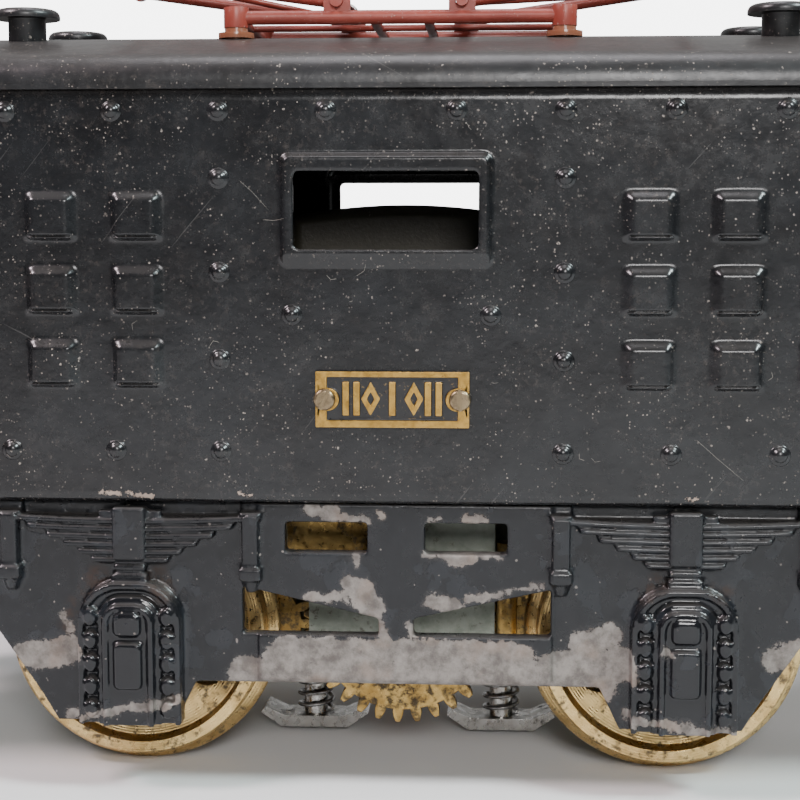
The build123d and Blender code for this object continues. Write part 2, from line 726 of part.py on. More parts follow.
def leaf(x, top, half):
    """One leaf of a spring, its ends bent up a little."""
    rise = leaf_rise * (half / spring_leaves[0]) ** 2
    low = top - leaf_t
    upper = ThreePointArc((x - half, top + rise), (x, top), (x + half, top + rise))
    lower = ThreePointArc((x - half + 0.4, low + rise), (x, low), (x + half - 0.4, low + rise))
    return Face(Wire([upper, Line(upper @ 1, lower @ 1), lower, Line(lower @ 0, upper @ 0)]))


def bead(x, width, low, high, radius, line):
    """An arch's outline as a raised line."""
    hollow = arch(x, width - 2 * line, low - 1, high - line, radius - line * 0.7)
    return arch(x, width, low, high, radius) - hollow


def axle_guard(x):
    """One axle box with its leaf spring, hangers and keeps, standing out of the plate."""
    back = -frame_outer + 0.3
    relief = slab(arch(x, box_w, box_low, box_top, 5.2), -29.0, back)
    relief += slab(bead(x, box_w, box_low, box_top, 5.2, 0.75), -29.8, back)
    relief += slab(arch(x, 7.8, box_low, 24.9, 3.0), -29.6, back)
    relief += slab(arch(x, 6.3, box_low, 24.0, 2.2), -30.1, back)
    relief += slab(bead(x, 6.3, box_low, 24.0, 2.2, 0.6), -30.6, back)
    relief += slab(rect(x, 21.6, 3.2, 2.6, 0.5), -30.9, back)
    relief += slab(rect(x, 16.4, 3.3, 5.6, 0.5), -30.8, back)
    for side in (-1, 1):
        for z in (22.4, 19.5, 16.6, 13.7, 10.8):
            relief += slab(Pos(x + side * 4.75, z) * Ellipse(0.75, 1.1), -30.2, back)
    relief += slab(rect(x, 28.2, 3.4, 4.2), -28.4, back)
    relief += slab(rect(x, 27.2, 4.4, 0.7), -28.8, back) + slab(rect(x, 28.3, 4.0, 0.5), -28.7, back)
    relief += slab(rect(x, (29.3 + 35.9) / 2, 4.0, 6.6, 0.2), -29.0, back)
    relief += slab(rect(x, 35.2, 7.9, 0.5), -28.2, back)
    for i, half in enumerate(spring_leaves):
        relief += slab(leaf(x, leaf_top - leaf_pitch * i, half), -28.4, back)
    for side in (-1, 1):
        hanger = x + side * hanger_reach
        relief += block((hanger - 1.0, hanger + 1.0), (-28.8, back), (28.4, 34.9))
        relief += block((hanger - 1.35, hanger + 1.35), (-29.2, back), (26.9, 28.4))
        relief += Pos(hanger, -frame_outer - 0.4, 26.1) * Cone(0.6, 1.2, 1.6)
        relief += block((hanger - 1.35, hanger + 1.35), (-28.4, back), (34.4, 35.3))
    return relief


def side_frame():
    """The near side frame: a pierced plate with its relief, and pads up to the floor."""
    casting = slab(frame_outline(), -frame_outer, -frame_inner)
    raised = rect(panel_x, (panel_low + frame_top) / 2, panel_w, frame_top - panel_low)
    casting += slab(raised, -frame_outer - 0.5, -frame_outer)
    for opening in frame_openings():
        casting -= slab(opening, -40, -20)
    for x in (-axle_x + guard_shift, axle_x + guard_shift):
        reach = hanger_reach - 1.3
        casting -= block((x - reach, x + reach), (-40, -frame_inner - 0.9), (34.6, frame_top + 1))
        casting += axle_guard(x)
    for end in (-1, 1):
        for place in pad_places:
            x = end * place
            casting += block((x - 4, x + 4), (-frame_inner - 0.5, -20.6), (34.6, floor_bottom))
            casting -= upright(x, -pad_y, screw_r, 30, 45)
    return casting


def chassis_screws():
    """Twelve screws down through the floor, and four up through the body's lips."""
    screw = slotted_screw(1.8, 1.1, screw_r, 3.4, slot=0.5)
    above = floor_bottom + floor_sheet
    spots = [(end * x, side * pad_y) for x in pad_places for end in (-1, 1) for side in (-1, 1)]
    spots += [(end * beam_screw_x, side * beam_screw_y) for end in (-1, 1) for side in (-1, 1)]
    down = [Pos(x, y, above) * Rot(0, 0, 17 * x + 31 * y) * screw for x, y in spots]
    lip_screw = slotted_screw(1.8, 0.9, screw_r, 2.4, slot=0.5)
    spots = [(end * floor_screw_x, side * floor_screw_y) for end in (-1, 1) for side in (-1, 1)]
    up = [Pos(x, y, body_bottom) * Rot(180, 0, 0) * Rot(0, 0, 23 * x) * lip_screw for x, y in spots]
    return down + up


# Mechanism --------------------------------------------------------------------------------------
armature_r = 10.0
core_low, core_high = -7.0, 3.6
commutator_low, commutator_high = 4.8, 8.6
commutator_r = 3.2
pillar_spots = [(-22.0, 27.5), (22.0, 27.5), (-17.0, 57.0), (17.0, 57.0)]
bracket_spots = [(-9.5, 44.0), (9.5, 44.0)]
pillar_r = 2.0
small_screw_r = 0.8
centre_stud_r = 1.5


def motor_plate_face():
    """The side plate's outline: a long bar round the axles with a tower above its middle."""
    shape = Pos(0, axle_z) * SlotOverall(wheelbase + 13, 13)
    shape += rect(0, 24.0, 56, 14, 2.0) + rect(0, 38.0, 42, 46, 3.0)
    return shape


def motor_plate(side):
    """One steel side plate, bored for the axles, shafts and pillars."""
    low, high = sorted((side * plate_inner, side * plate_outer))
    plate = slab(motor_plate_face(), low, high)
    running = [(-axle_x, axle_z, axle_r), (axle_x, axle_z, axle_r)]
    running += [(0, lay_z, shaft_r), (0, armature_z, shaft_r)]
    for x, z, r in running:
        plate -= across(x, z, r + clearance, -20, 20)
    for x, z in pillar_spots:
        plate -= across(x, z, small_screw_r + 0.1, -20, 20)
    for x in (-tab_x, tab_x):
        plate -= collector_tab(x)
    if side == near:
        for x, z in bracket_spots:
            plate -= across(x, z, small_screw_r + 0.1, -20, 0)
        for x in (-idler_x, idler_x):
            plate -= across(x, axle_z, stud_r, -20, 0)
        plate -= across(0, axle_z, centre_stud_r, -20, 0)
    else:
        for x in (-11.0, 11.0):
            plate -= across(x, armature_z - 5, small_screw_r, 0, 20)
    return plate


def bearing_bracket():
    """The outer steel plate in front of the centre gear, on two pillars and the gear's stud."""
    low, high = -bracket_inner - bracket_sheet, -bracket_inner
    plate = slab(rect(0, 29.5, 2 * bracket_half, 35.0, 1.2), low, high)
    plate += block((bracket_half - 1, post_x + 1.9), (low - 1, high), (27.2, 28.4))
    plate -= upright(post_x, post_y, post_r, 20, 40)
    plate -= across(0, lay_z, shaft_r + clearance, -20, 0)
    plate -= across(0, axle_z, 1.0, -20, 0)
    for x, z in bracket_spots:
        plate -= across(x, z, small_screw_r + 0.1, -20, 0)
    return plate


post_x, post_y, post_r = 13.65, -15.5, 1.35


def feed_contacts():
    """The brass feed strip on the bracket's face, and the brass post in the bracket's ear."""
    face = -bracket_inner - bracket_sheet
    strip = slab(rect(-8.9, 31.8, 11.8, 9.0, 0.8), face - 0.6, face)
    for x, z in ((-12.6, 34.9), (-5.2, 28.7)):
        strip += across(x, z, 0.8, face - 1.0, face)
    return [strip, upright(post_x, post_y, post_r, 15.0, 29.6)]


def pillars():
    """Spacers between the two side plates, and between the near plate and the bracket."""
    long_ones = [across(x, z, pillar_r, -plate_inner, plate_inner) for x, z in pillar_spots]
    short_ones = [across(x, z, pillar_r, -bracket_inner, -plate_outer) for x, z in bracket_spots]
    long_ones = [p - across(x, z, small_screw_r, -20, 20) for p, (x, z) in zip(long_ones, pillar_spots)]
    short_ones = [p - across(x, z, small_screw_r, -20, 0) for p, (x, z) in zip(short_ones, bracket_spots)]
    return long_ones + short_ones


def pillar_screws():
    """Screws into the pillars' ends and through the bracket."""
    screws = []
    for x, z in pillar_spots:
        for side in (near, far):
            place = Pos(x, side * plate_outer, z) * Rot(-90 * side, 0, 0)
            screws.append(place * slotted_screw(1.5, 0.8, small_screw_r, 4.0))
    for x, z in bracket_spots:
        place = Pos(x, -bracket_inner - bracket_sheet, z) * Rot(90, 0, 0)
        screws.append(place * slotted_screw(1.5, 0.8, small_screw_r, 7.0))
    return screws


def gear_studs():
    """The idlers' riveted studs and the centre gear's longer one, all fixed to the near plate."""
    studs = []
    for x in (-idler_x, idler_x):
        studs.append(across(x, axle_z, stud_r, gear_near - 0.15, -plate_inner + 0.2))
    middle = across(0, axle_z, centre_stud_r, -bracket_inner, -plate_inner + 0.2)
    middle += across(0, axle_z, 1.0, -bracket_inner - bracket_sheet - 0.5, -bracket_inner)
    studs.append(middle)
    return studs


def wheel(x, side):
    """A turned wheel with a flange, a dished web with six holes, and a hub."""
    back = back_to_back / 2
    profile = [
        (axle_r, back), (flange_r - 0.4, back), (flange_r, back + 0.4), (flange_r, back + 0.9),
        (flange_r - 0.5, back + 1.4), (tread_r + 0.1, back + 1.7), (tread_r, back + wheel_width - 0.3),
        (tread_r - 0.3, back + wheel_width), (14.7, back + wheel_width), (14.3, back + 3.4),
        (5.4, back + 3.0), (4.6, back + wheel_width - 0.2), (axle_r, back + wheel_width - 0.2),
    ]
    section = Plane.XZ * Polygon(*profile, align=None)
    disc = Rot(-90, 0, 0) * revolve(section, Axis.Z)
    for k in range(6):
        angle = math.radians(60 * k + 30)
        disc -= across(9.8 * math.cos(angle), 9.8 * math.sin(angle), 2.6, back - 1, back + 6)
    disc = disc if side == far else Rot(0, 0, 180) * disc
    return Pos(x, 0, axle_z) * disc


def axle_set(end, tooth_deg):
    """An axle, its two wheels and its gear, which turn as one."""
    x = end * axle_x
    reach = back_to_back / 2 + wheel_width - 0.5
    axle = across(x, axle_z, axle_r, -reach, reach)
    cog = gear(axle_teeth, coarse, x, axle_z, tooth_deg, gear_near, axle_r)
    return axle, [wheel(x, near), wheel(x, far)], cog


def layshaft():
    """The layshaft with its pinion cut in one piece, and a collar inside the far plate."""
    pinion = gear(lay_teeth, coarse, 0, lay_z, lay_deg, gear_near, 0.5)
    shaft = across(0, lay_z, shaft_r, -bracket_inner - bracket_sheet - 0.4, plate_outer + 0.4)
    return shaft + pinion + across(0, lay_z, 1.9, plate_inner - 2.2, plate_inner - 0.3)


def reduction_gear():
    return gear(reduction_teeth, fine, 0, lay_z, reduction_deg, fine_near, shaft_r, hub_r=2.6, hub_high=-5.8)


def armature_shaft():
    """The armature shaft with its pinion cut in one piece."""
    pinion = gear(armature_teeth, fine, 0, armature_z, armature_deg, fine_near, 0.5)
    return across(0, armature_z, shaft_r, -plate_outer - 0.6, plate_outer + 0.6) + pinion


def armature_core():
    """A three-pole laminated core."""
    shape = Pos(0, armature_z) * Circle(armature_r)
    for k in range(3):
        angle = 90 + 120 * k + 60
        shape -= Pos(0, armature_z) * Rot(0, 0, angle) * Pos(armature_r, 0) * Rectangle(3.6, 2.0)
        shape -= Pos(0, armature_z) * Rot(0, 0, angle) * Pos(5.9, 0) * RectangleRounded(5.0, 6.6, 1.2)
    return slab(shape, core_low, core_high) - across(0, armature_z, shaft_r, -20, 20)


def armature_windings():
    """The three coils' end turns, shown as rounded pads at both ends of the core."""
    coils = []
    for k in range(3):
        angle = 90 + 120 * k
        pad = Pos(0, armature_z) * Rot(0, 0, angle) * Pos(5.2, 0) * RectangleRounded(3.4, 9.0, 1.5)
        for low, high in ((core_low - 0.75, core_low), (core_high, core_high + 0.9)):
            coils.append(slab(pad, low, high))
    return coils


def commutator():
    """Three copper segments on an insulating sleeve, drawn as one slotted drum."""
    drum = across(0, armature_z, commutator_r, commutator_low, commutator_high)
    drum -= across(0, armature_z, shaft_r, -20, 20)
    for k in range(3):
        angle = 120 * k + 90
        cut = Pos(0, armature_z) * Rot(0, 0, angle) * Pos(commutator_r, 0) * Rectangle(1.6, 0.4)
        drum -= slab(cut, commutator_low, commutator_high)
    return drum


coil_half_x = 15.2
coil_crown = 1.5  # how far the winding's top falls away to its ends
coil_low, coil_top = 60.5, 73.0
core_half_x = 18.6
limb_low, limb_high = 63.4, 69.6


def field_core():
    """The laminated field: two limbs round the armature, joined by a bar through the coil."""
    shape = rect(0, (40.0 + limb_high) / 2, 2 * core_half_x, limb_high - 40.0, 1.5)
    shape -= Pos(0, armature_z) * Circle(armature_r + 0.45)
    shape -= rect(0, 43.0, 9.0, 14.0)
    shape -= rect(0, (coil_low - 0.3 + limb_low) / 2, 2 * coil_half_x + 0.4, limb_low - coil_low + 0.3)
    core = slab(shape, core_low, core_high)
    for x, z in pillar_spots[2:]:
        core -= across(x, z, pillar_r + 0.05, -20, 20)
    return core


def field_coil():
    """The field coil, wound round the bar and taped: a block with soft edges."""
    low, high = core_low - 2.3, core_high + 2.3
    crown_r = coil_half_x**2 / (2 * coil_crown)
    coil = block((-coil_half_x, coil_half_x), (low, high), (coil_low, coil_top))
    coil &= across(0, coil_top - crown_r, crown_r, low - 1, high + 1)
    coil = fillet(coil.edges(), 1.8)
    return coil - block((-20, 20), (core_low, core_high), (limb_low, limb_high))


brush_y = 6.7
brush_back, tube_stop = 6.6, 9.4  # distances from the shaft


def brush_plate():
    """The fibre plate inside the far side plate, with a clear hole round the shaft."""
    plate = slab(rect(0, armature_z - 1, 30.0, 13.0, 2.0), plate_inner - 1.3, plate_inner)
    plate -= across(0, armature_z, 2.2, 0, 20)
    for x in (-11.0, 11.0):
        plate -= across(x, armature_z - 5, small_screw_r, 0, 20)
    return plate


def brush_tubes():
    """A square brass brush tube on each side of the commutator."""
    tubes = []
    for side in (-1, 1):
        inner, outer = sorted((side * 4.0, side * 10.0))
        tube = block((inner, outer), (brush_y - 1.6, plate_inner - 1.3), (armature_z - 1.6, armature_z + 1.6))
        bore = (brush_y - 1.05, brush_y + 1.05), (armature_z - 1.05, armature_z + 1.05)
        tubes.append(tube - block((-tube_stop, tube_stop), *bore))
    return tubes


def brushes():
    """Two carbon brushes, shaped to the commutator."""
    made = []
    for side in (-1, 1):
        inner, outer = sorted((side * 2.6, side * brush_back))
        brush = block((inner, outer), (brush_y - 1, brush_y + 1), (armature_z - 1, armature_z + 1))
        made.append(brush - across(0, armature_z, commutator_r + clearance, 0, 20))
    return made


def brush_springs():
    """A small coil spring behind each brush."""
    spring = coil_spring(0.8, 0.17, tube_stop - brush_back - 0.06, 5)
    start = brush_back + 0.03
    return [Pos(side * start, brush_y, armature_z) * Rot(0, 90 * side, 0) * spring for side in (-1, 1)]


# Current collector ------------------------------------------------------------------------------
shoe_x = 13.0
collector_low, collector_high = 12.4, 14.0
collector_boss = 15.4
tab_x, tab_w = 17.0, 5.0
shoe_top = 2.2
stem_r = 1.6


def pickup_plate():
    """The fibre plate between the side plates that guides both collector shoes."""
    plate = block((-21, 21), (-plate_inner, plate_inner), (collector_low, collector_high))
    for x in (-tab_x, tab_x):
        plate += collector_tab(x)
    for x in (-shoe_x, shoe_x):
        plate += upright(x, 0, 3.0, collector_high, collector_boss)
        plate -= upright(x, 0, stem_r + clearance, 0, 30)
    return plate


def collector_tab(x):
    """The tongue by which the fibre plate sits in slots in both side plates."""
    return block((x - tab_w / 2, x + tab_w / 2), (-plate_outer, plate_outer), (collector_low, collector_high))


def pickup_spring(end):
    """The spring round a shoe's stem, under the fibre plate."""
    low, high = shoe_top + 0.02, collector_low - 0.02
    return Pos(end * shoe_x, 0, low) * coil_spring(2.3, 0.28, high - low, 6)


def pickup_shoe(end):
    """A skid with upturned ends on a round stem, sprung down onto the centre rail."""
    x = end * shoe_x
    upper = [(-7.5, 2.6), (-6.9, 3.4), (-4.2, shoe_top), (4.2, shoe_top), (6.9, 3.4), (7.5, 2.6)]
    skid = upper + [(4.6, 0.6), (-4.6, 0.6)]
    shape = Polygon(*[(x + dx, z) for dx, z in skid], align=None)
    shoe = slab(shape, -2.6, 2.6)
    shoe += upright(x, 0, stem_r, 2.0, collector_boss + 1)
    return shoe + upright(x, 0, 2.4, collector_boss + 0.05, collector_boss + 1.1)


# Write every node -------------------------------------------------------------------------------
def main():
    panel = side_panel()
    write("side_panel_near", panel)
    write("side_panel_far", mirror(panel, about=Plane.XZ))
    end_piece = end_panel()
    write("end_panels", Pos(body_shift, 0, 0) * end_piece, Pos(body_shift, 0, 0) * opposite(end_piece))
    write("roof", roof())
    plate = number_plate()
    write("number_plates", plate, mirror(plate, about=Plane.XZ))
    screws = plate_screws()
    write("number_plate_screws", *screws, *[mirror(s, about=Plane.XZ) for s in screws])
    write("handrails", *handrails())
    write("headlight_housings", *on_body_ends(headlight))
    write("headlight_lenses", *on_body_ends(headlight_lens))
    write("headlight_bulbs", *on_body_ends(headlight_bulb))
    write("roof_ventilators", *[ventilator(x, y) for x in (-48, 48) for y in (-13, 13)])
    write("pantograph_base", pantograph_base())
    half_x, half_y = pan_frame_half_x, pan_frame_half_y
    corners = [(x, y) for x in (-half_x, half_x) for y in (-half_y, half_y)]
    write("pantograph_insulators", *[insulator(x, y) for x, y in corners])
    write("pantograph_springs", *pan_springs())
    lower, upper = lower_arm(), upper_arm()
    write("pantograph_lower_front", lower)
    write("pantograph_lower_rear", Pos(2 * body_shift, 0, 0) * opposite(lower))
    write("pantograph_upper_front", upper)
    write("pantograph_upper_rear", Pos(2 * body_shift, 0, 0) * opposite(upper))
    write("pantograph_head", pan_head())

    write("floor_plate", floor_plate())
    frame = side_frame()
    write("side_frames", frame, opposite(frame))
    write("end_beams", *both_ends(end_beam))
    write("chassis_screws", *chassis_screws())
    write("coupler_pins", *both_ends(coupler_pin))
    for name, piece in zip(("front", "rear"), both_ends(coupler)):
        write(f"coupler_{name}", piece)
    write("reverse_lever", reverse_lever())

    write("motor_plate_near", motor_plate(near))
    write("motor_plate_far", motor_plate(far))
    write("bearing_bracket", bearing_bracket())
    write("feed_contacts", *feed_contacts())
    write("plate_pillars", *pillars())
    write("pillar_screws", *pillar_screws())
    write("gear_studs", *gear_studs())
    write("field_core", field_core())
    write("field_coil", field_coil())
    write("brush_plate", brush_plate())
    write("brush_tubes", *brush_tubes())
    write("brushes", *brushes())
    write("brush_springs", *brush_springs())
    write("pickup_plate", pickup_plate())
    for name, end in (("front", front), ("rear", rear)):
        write(f"pickup_shoe_{name}", pickup_shoe(end))
        write(f"pickup_spring_{name}", pickup_spring(end))

    for name, end, tooth_deg in (("front", front, axle_front_deg), ("rear", rear, axle_rear_deg)):
        axle, wheels, cog = axle_set(end, tooth_deg)
        write(f"axle_{name}", axle)
        write(f"wheels_{name}", *wheels)
        write(f"axle_gear_{name}", cog)
    for name, end, tooth_deg in (("front", front, idler_front_deg), ("rear", rear, idler_rear_deg)):
        cog = gear(idler_teeth, coarse, end * idler_x, axle_z, tooth_deg, gear_near, stud_r + clearance)
        write(f"idler_gear_{name}", cog)
    bore = centre_stud_r + clearance
    write("centre_gear", gear(centre_teeth, coarse, 0, axle_z, centre_deg, gear_near, bore))
    write("layshaft", layshaft())
    write("reduction_gear", reduction_gear())
    write("armature_shaft", armature_shaft())
    write("armature_core", armature_core())
    write("armature_windings", *armature_windings())
    write("commutator", commutator())


main()
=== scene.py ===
import json
import math
import random

import bpy
import numpy as np
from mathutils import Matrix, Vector, noise


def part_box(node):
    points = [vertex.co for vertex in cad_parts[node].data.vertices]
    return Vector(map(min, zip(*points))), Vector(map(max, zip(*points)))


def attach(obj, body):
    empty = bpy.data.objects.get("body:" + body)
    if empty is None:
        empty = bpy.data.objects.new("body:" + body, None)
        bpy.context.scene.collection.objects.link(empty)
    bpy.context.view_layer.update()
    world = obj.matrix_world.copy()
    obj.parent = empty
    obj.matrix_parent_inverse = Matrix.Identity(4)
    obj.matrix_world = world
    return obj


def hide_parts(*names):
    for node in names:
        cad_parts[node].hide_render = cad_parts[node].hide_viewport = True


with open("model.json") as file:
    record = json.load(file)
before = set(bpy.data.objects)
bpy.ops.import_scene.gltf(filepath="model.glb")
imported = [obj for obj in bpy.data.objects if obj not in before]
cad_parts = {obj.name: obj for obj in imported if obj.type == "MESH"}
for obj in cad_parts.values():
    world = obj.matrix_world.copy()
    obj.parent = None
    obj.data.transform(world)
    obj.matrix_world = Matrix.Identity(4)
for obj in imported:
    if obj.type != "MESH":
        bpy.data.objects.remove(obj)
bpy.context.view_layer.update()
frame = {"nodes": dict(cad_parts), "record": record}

MM = 0.001
nodes = frame["nodes"]
rng = random.Random(7)
noise.seed_set(7)


# Places, in millimetres, from the frame -----------------------------------------------------------
def span(node):
    """A node's limits in millimetres: (low, high) vectors."""
    low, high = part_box(node)
    return low / MM, high / MM


panel_low, panel_high = span("side_panel_near")
body_x = (panel_low.x + panel_high.x) / 2  # the body's centre
half_length = (panel_high.x - panel_low.x) / 2
half_width = 29.0
body_bottom, body_top = panel_low.z, panel_high.z
axle_x, axle_z = 34.0, 18.0

sheet = 0.8
corner_r = 3.0
hem_r, hem_lip = 1.2, 1.6
window_x, window_z, window_w, window_h = -0.6, 72.15, 22.2, 9.3
door_x, door_w, door_low, door_high, door_window = 72.0, 11.0, 39.5, 81.5, 7.0
louvre_w, louvre_h, louvre_proud = 6.75, 6.3, 0.85
louvre_columns = [30.75 + 10.45 * i for i in range(3)]
louvre_rows = [53.7 + 8.9 * i for i in range(3)]
rivet_column, rivet_rows, rivet_pitch = 20.7, [43.0, 54.2, 64.7, 75.9], 12.9
spring_x = [-32.85, 35.15]
spring_leaves = [14.6, 12.9, 10.6, 8.5, 6.6, 5.0]  # half lengths, top leaf first
leaf_top, leaf_rise, leaf_pitch, leaf_t = 34.4, 0.45, 0.97, 0.6


# Materials ----------------------------------------------------------------------------------------
class Shader:
    """A material being built: a Principled shader, and short names for the nodes that feed it."""

    def __init__(self, name):
        self.material = bpy.data.materials.new(name)
        self.material.use_nodes = True
        self.tree = self.material.node_tree
        self.bsdf = self.tree.nodes["Principled BSDF"]
        self.place = self.node("ShaderNodeTexCoord").outputs["Object"]
        self.geometry = self.node("ShaderNodeNewGeometry")

    def node(self, kind, **settings):
        made = self.tree.nodes.new(kind)
        for key, value in settings.items():
            setattr(made, key, value)
        return made

    def feed(self, socket, value):
        if isinstance(value, bpy.types.NodeSocket):
            self.tree.links.new(value, socket)
        elif isinstance(value, tuple) and len(value) == 3 and socket.type == "RGBA":
            socket.default_value = (*value, 1.0)
        else:
            socket.default_value = value

    def set(self, **values):
        """Sets the shader's sockets by name, with _ for a space."""
        for key, value in values.items():
            self.feed(self.bsdf.inputs[key.replace("_", " ")], value)

    def maths(self, operation, a, b=0.0, clamp=False):
        made = self.node("ShaderNodeMath", operation=operation, use_clamp=clamp)
        self.feed(made.inputs[0], a)
        self.feed(made.inputs[1], b)
        return made.outputs[0]

    def stretched(self, scale):
        """The object's place with each axis scaled."""
        made = self.node("ShaderNodeMapping")
        self.feed(made.inputs["Vector"], self.place)
        made.inputs["Scale"].default_value = scale
        return made.outputs[0]

    def noise(self, per_mm, detail=3.0, rough=0.5, stretch=None, shift=0.0):
        made = self.node("ShaderNodeTexNoise")
        made.inputs["Scale"].default_value = per_mm / MM
        made.inputs["Detail"].default_value = detail
        made.inputs["Roughness"].default_value = rough
        place = self.stretched(stretch) if stretch else self.place
        if shift:
            moved = self.node("ShaderNodeVectorMath", operation="ADD")
            self.feed(moved.inputs[0], place)
            moved.inputs[1].default_value = (shift, shift * 0.7, -shift)
            place = moved.outputs[0]
        self.feed(made.inputs["Vector"], place)
        return made.outputs["Fac"]

    def step(self, value, low, high, out_low=0.0, out_high=1.0):
        """value eased from out_low at low to out_high at high."""
        made = self.node("ShaderNodeMapRange", interpolation_type="SMOOTHSTEP")
        for key, number in (("From Min", low), ("From Max", high), ("To Min", out_low), ("To Max", out_high)):
            made.inputs[key].default_value = number
        self.feed(made.inputs["Value"], value)
        return made.outputs["Result"]

    def mix(self, factor, a, b):
        made = self.node("ShaderNodeMix", data_type="RGBA")
        self.feed(made.inputs["Factor"], factor)
        self.feed(made.inputs["A"], a)
        self.feed(made.inputs["B"], b)
        return made.outputs["Result"]

    def specks(self, cell_mm, size, share, shift=0.0):
        """Dots of uneven size, up to size of a cell, in that share of the cells."""
        made = self.node("ShaderNodeTexVoronoi")
        made.inputs["Scale"].default_value = 1 / (cell_mm * MM)
        self.feed(made.inputs["Vector"], self.warped(2.2 / cell_mm, 0.35 * cell_mm, shift))
        split = self.node("ShaderNodeSeparateColor")
        self.feed(split.inputs[0], made.outputs["Color"])
        reach = self.step(split.outputs[0], 1 - share, 1.0, 0.0, size)
        near = self.maths("SUBTRACT", reach, made.outputs["Distance"])
        return self.step(near, 0.0, size * 0.25)

    def warped(self, per_mm, reach_mm, shift=0.0):
        """The object's place pushed about by noise."""
        bent = self.node("ShaderNodeTexNoise")
        bent.inputs["Scale"].default_value = per_mm / MM
        bent.inputs["Detail"].default_value = 1.0
        self.feed(bent.inputs["Vector"], self.place)
        pushed = self.node("ShaderNodeVectorMath", operation="MULTIPLY_ADD")
        self.feed(pushed.inputs[0], bent.outputs["Color"])
        pushed.inputs[1].default_value = (reach_mm * MM,) * 3
        self.feed(pushed.inputs[2], self.place)
        moved = self.node("ShaderNodeVectorMath", operation="ADD")
        self.feed(moved.inputs[0], pushed.outputs[0])
        moved.inputs[1].default_value = (shift, shift, shift)
        return moved.outputs[0]

    def hairlines(self, slope, shift, share=0.035):
        """Short straight scratches that all lean one way."""
        turned = self.node("ShaderNodeMapping")
        self.feed(turned.inputs["Vector"], self.warped(0.03, 3.0, shift))
        turned.inputs["Rotation"].default_value = (0.0, slope, 0.0)
        long = self.node("ShaderNodeMapping")
        self.feed(long.inputs["Vector"], turned.outputs[0])
        long.inputs["Scale"].default_value = (0.045, 0.045, 2.6)
        lines = self.node("ShaderNodeTexNoise")
        lines.inputs["Scale"].default_value = 1 / MM
        lines.inputs["Detail"].default_value = 1.0
        self.feed(lines.inputs["Vector"], long.outputs[0])
        return self.step(lines.outputs["Fac"], 0.80 - share, 0.84 - share)

    def cavity_shade(self, low=0.40, high=0.47):
        """1 in sharp inner corners, which metal() darkens as painted shade."""
        return self.step(self.geometry.outputs["Pointiness"], low, high, 1.0, 0.0)

    def attribute(self, name):
        return self.node("ShaderNodeAttribute", attribute_name=name).outputs["Fac"]

    def facing_up(self):
        split = self.node("ShaderNodeSeparateXYZ")
        self.feed(split.inputs[0], self.geometry.outputs["Normal"])
        return split.outputs["Z"]

    def worn_edges(self, low=0.53, high=0.6):
        """1 on sharp outer edges."""
        return self.step(self.geometry.outputs["Pointiness"], low, high)

    def bump(self, height, distance_mm, strength=1.0, under=None):
        made = self.node("ShaderNodeBump")
        made.inputs["Distance"].default_value = distance_mm * MM
        made.inputs["Strength"].default_value = strength
        self.feed(made.inputs["Height"], height)
        if under is not None:
            self.feed(made.inputs["Normal"], under)
        return made.outputs["Normal"]

    def radius(self):
        """Distance in metres from the nearer axle's axis."""
        split = self.node("ShaderNodeSeparateXYZ")
        self.feed(split.inputs[0], self.place)
        x = self.maths("SUBTRACT", self.maths("ABSOLUTE", split.outputs["X"]), axle_x * MM)
        z = self.maths("SUBTRACT", split.outputs["Z"], axle_z * MM)
        squares = self.maths("ADD", self.maths("MULTIPLY", x, x), self.maths("MULTIPLY", z, z))
        return self.maths("SQRT", squares)


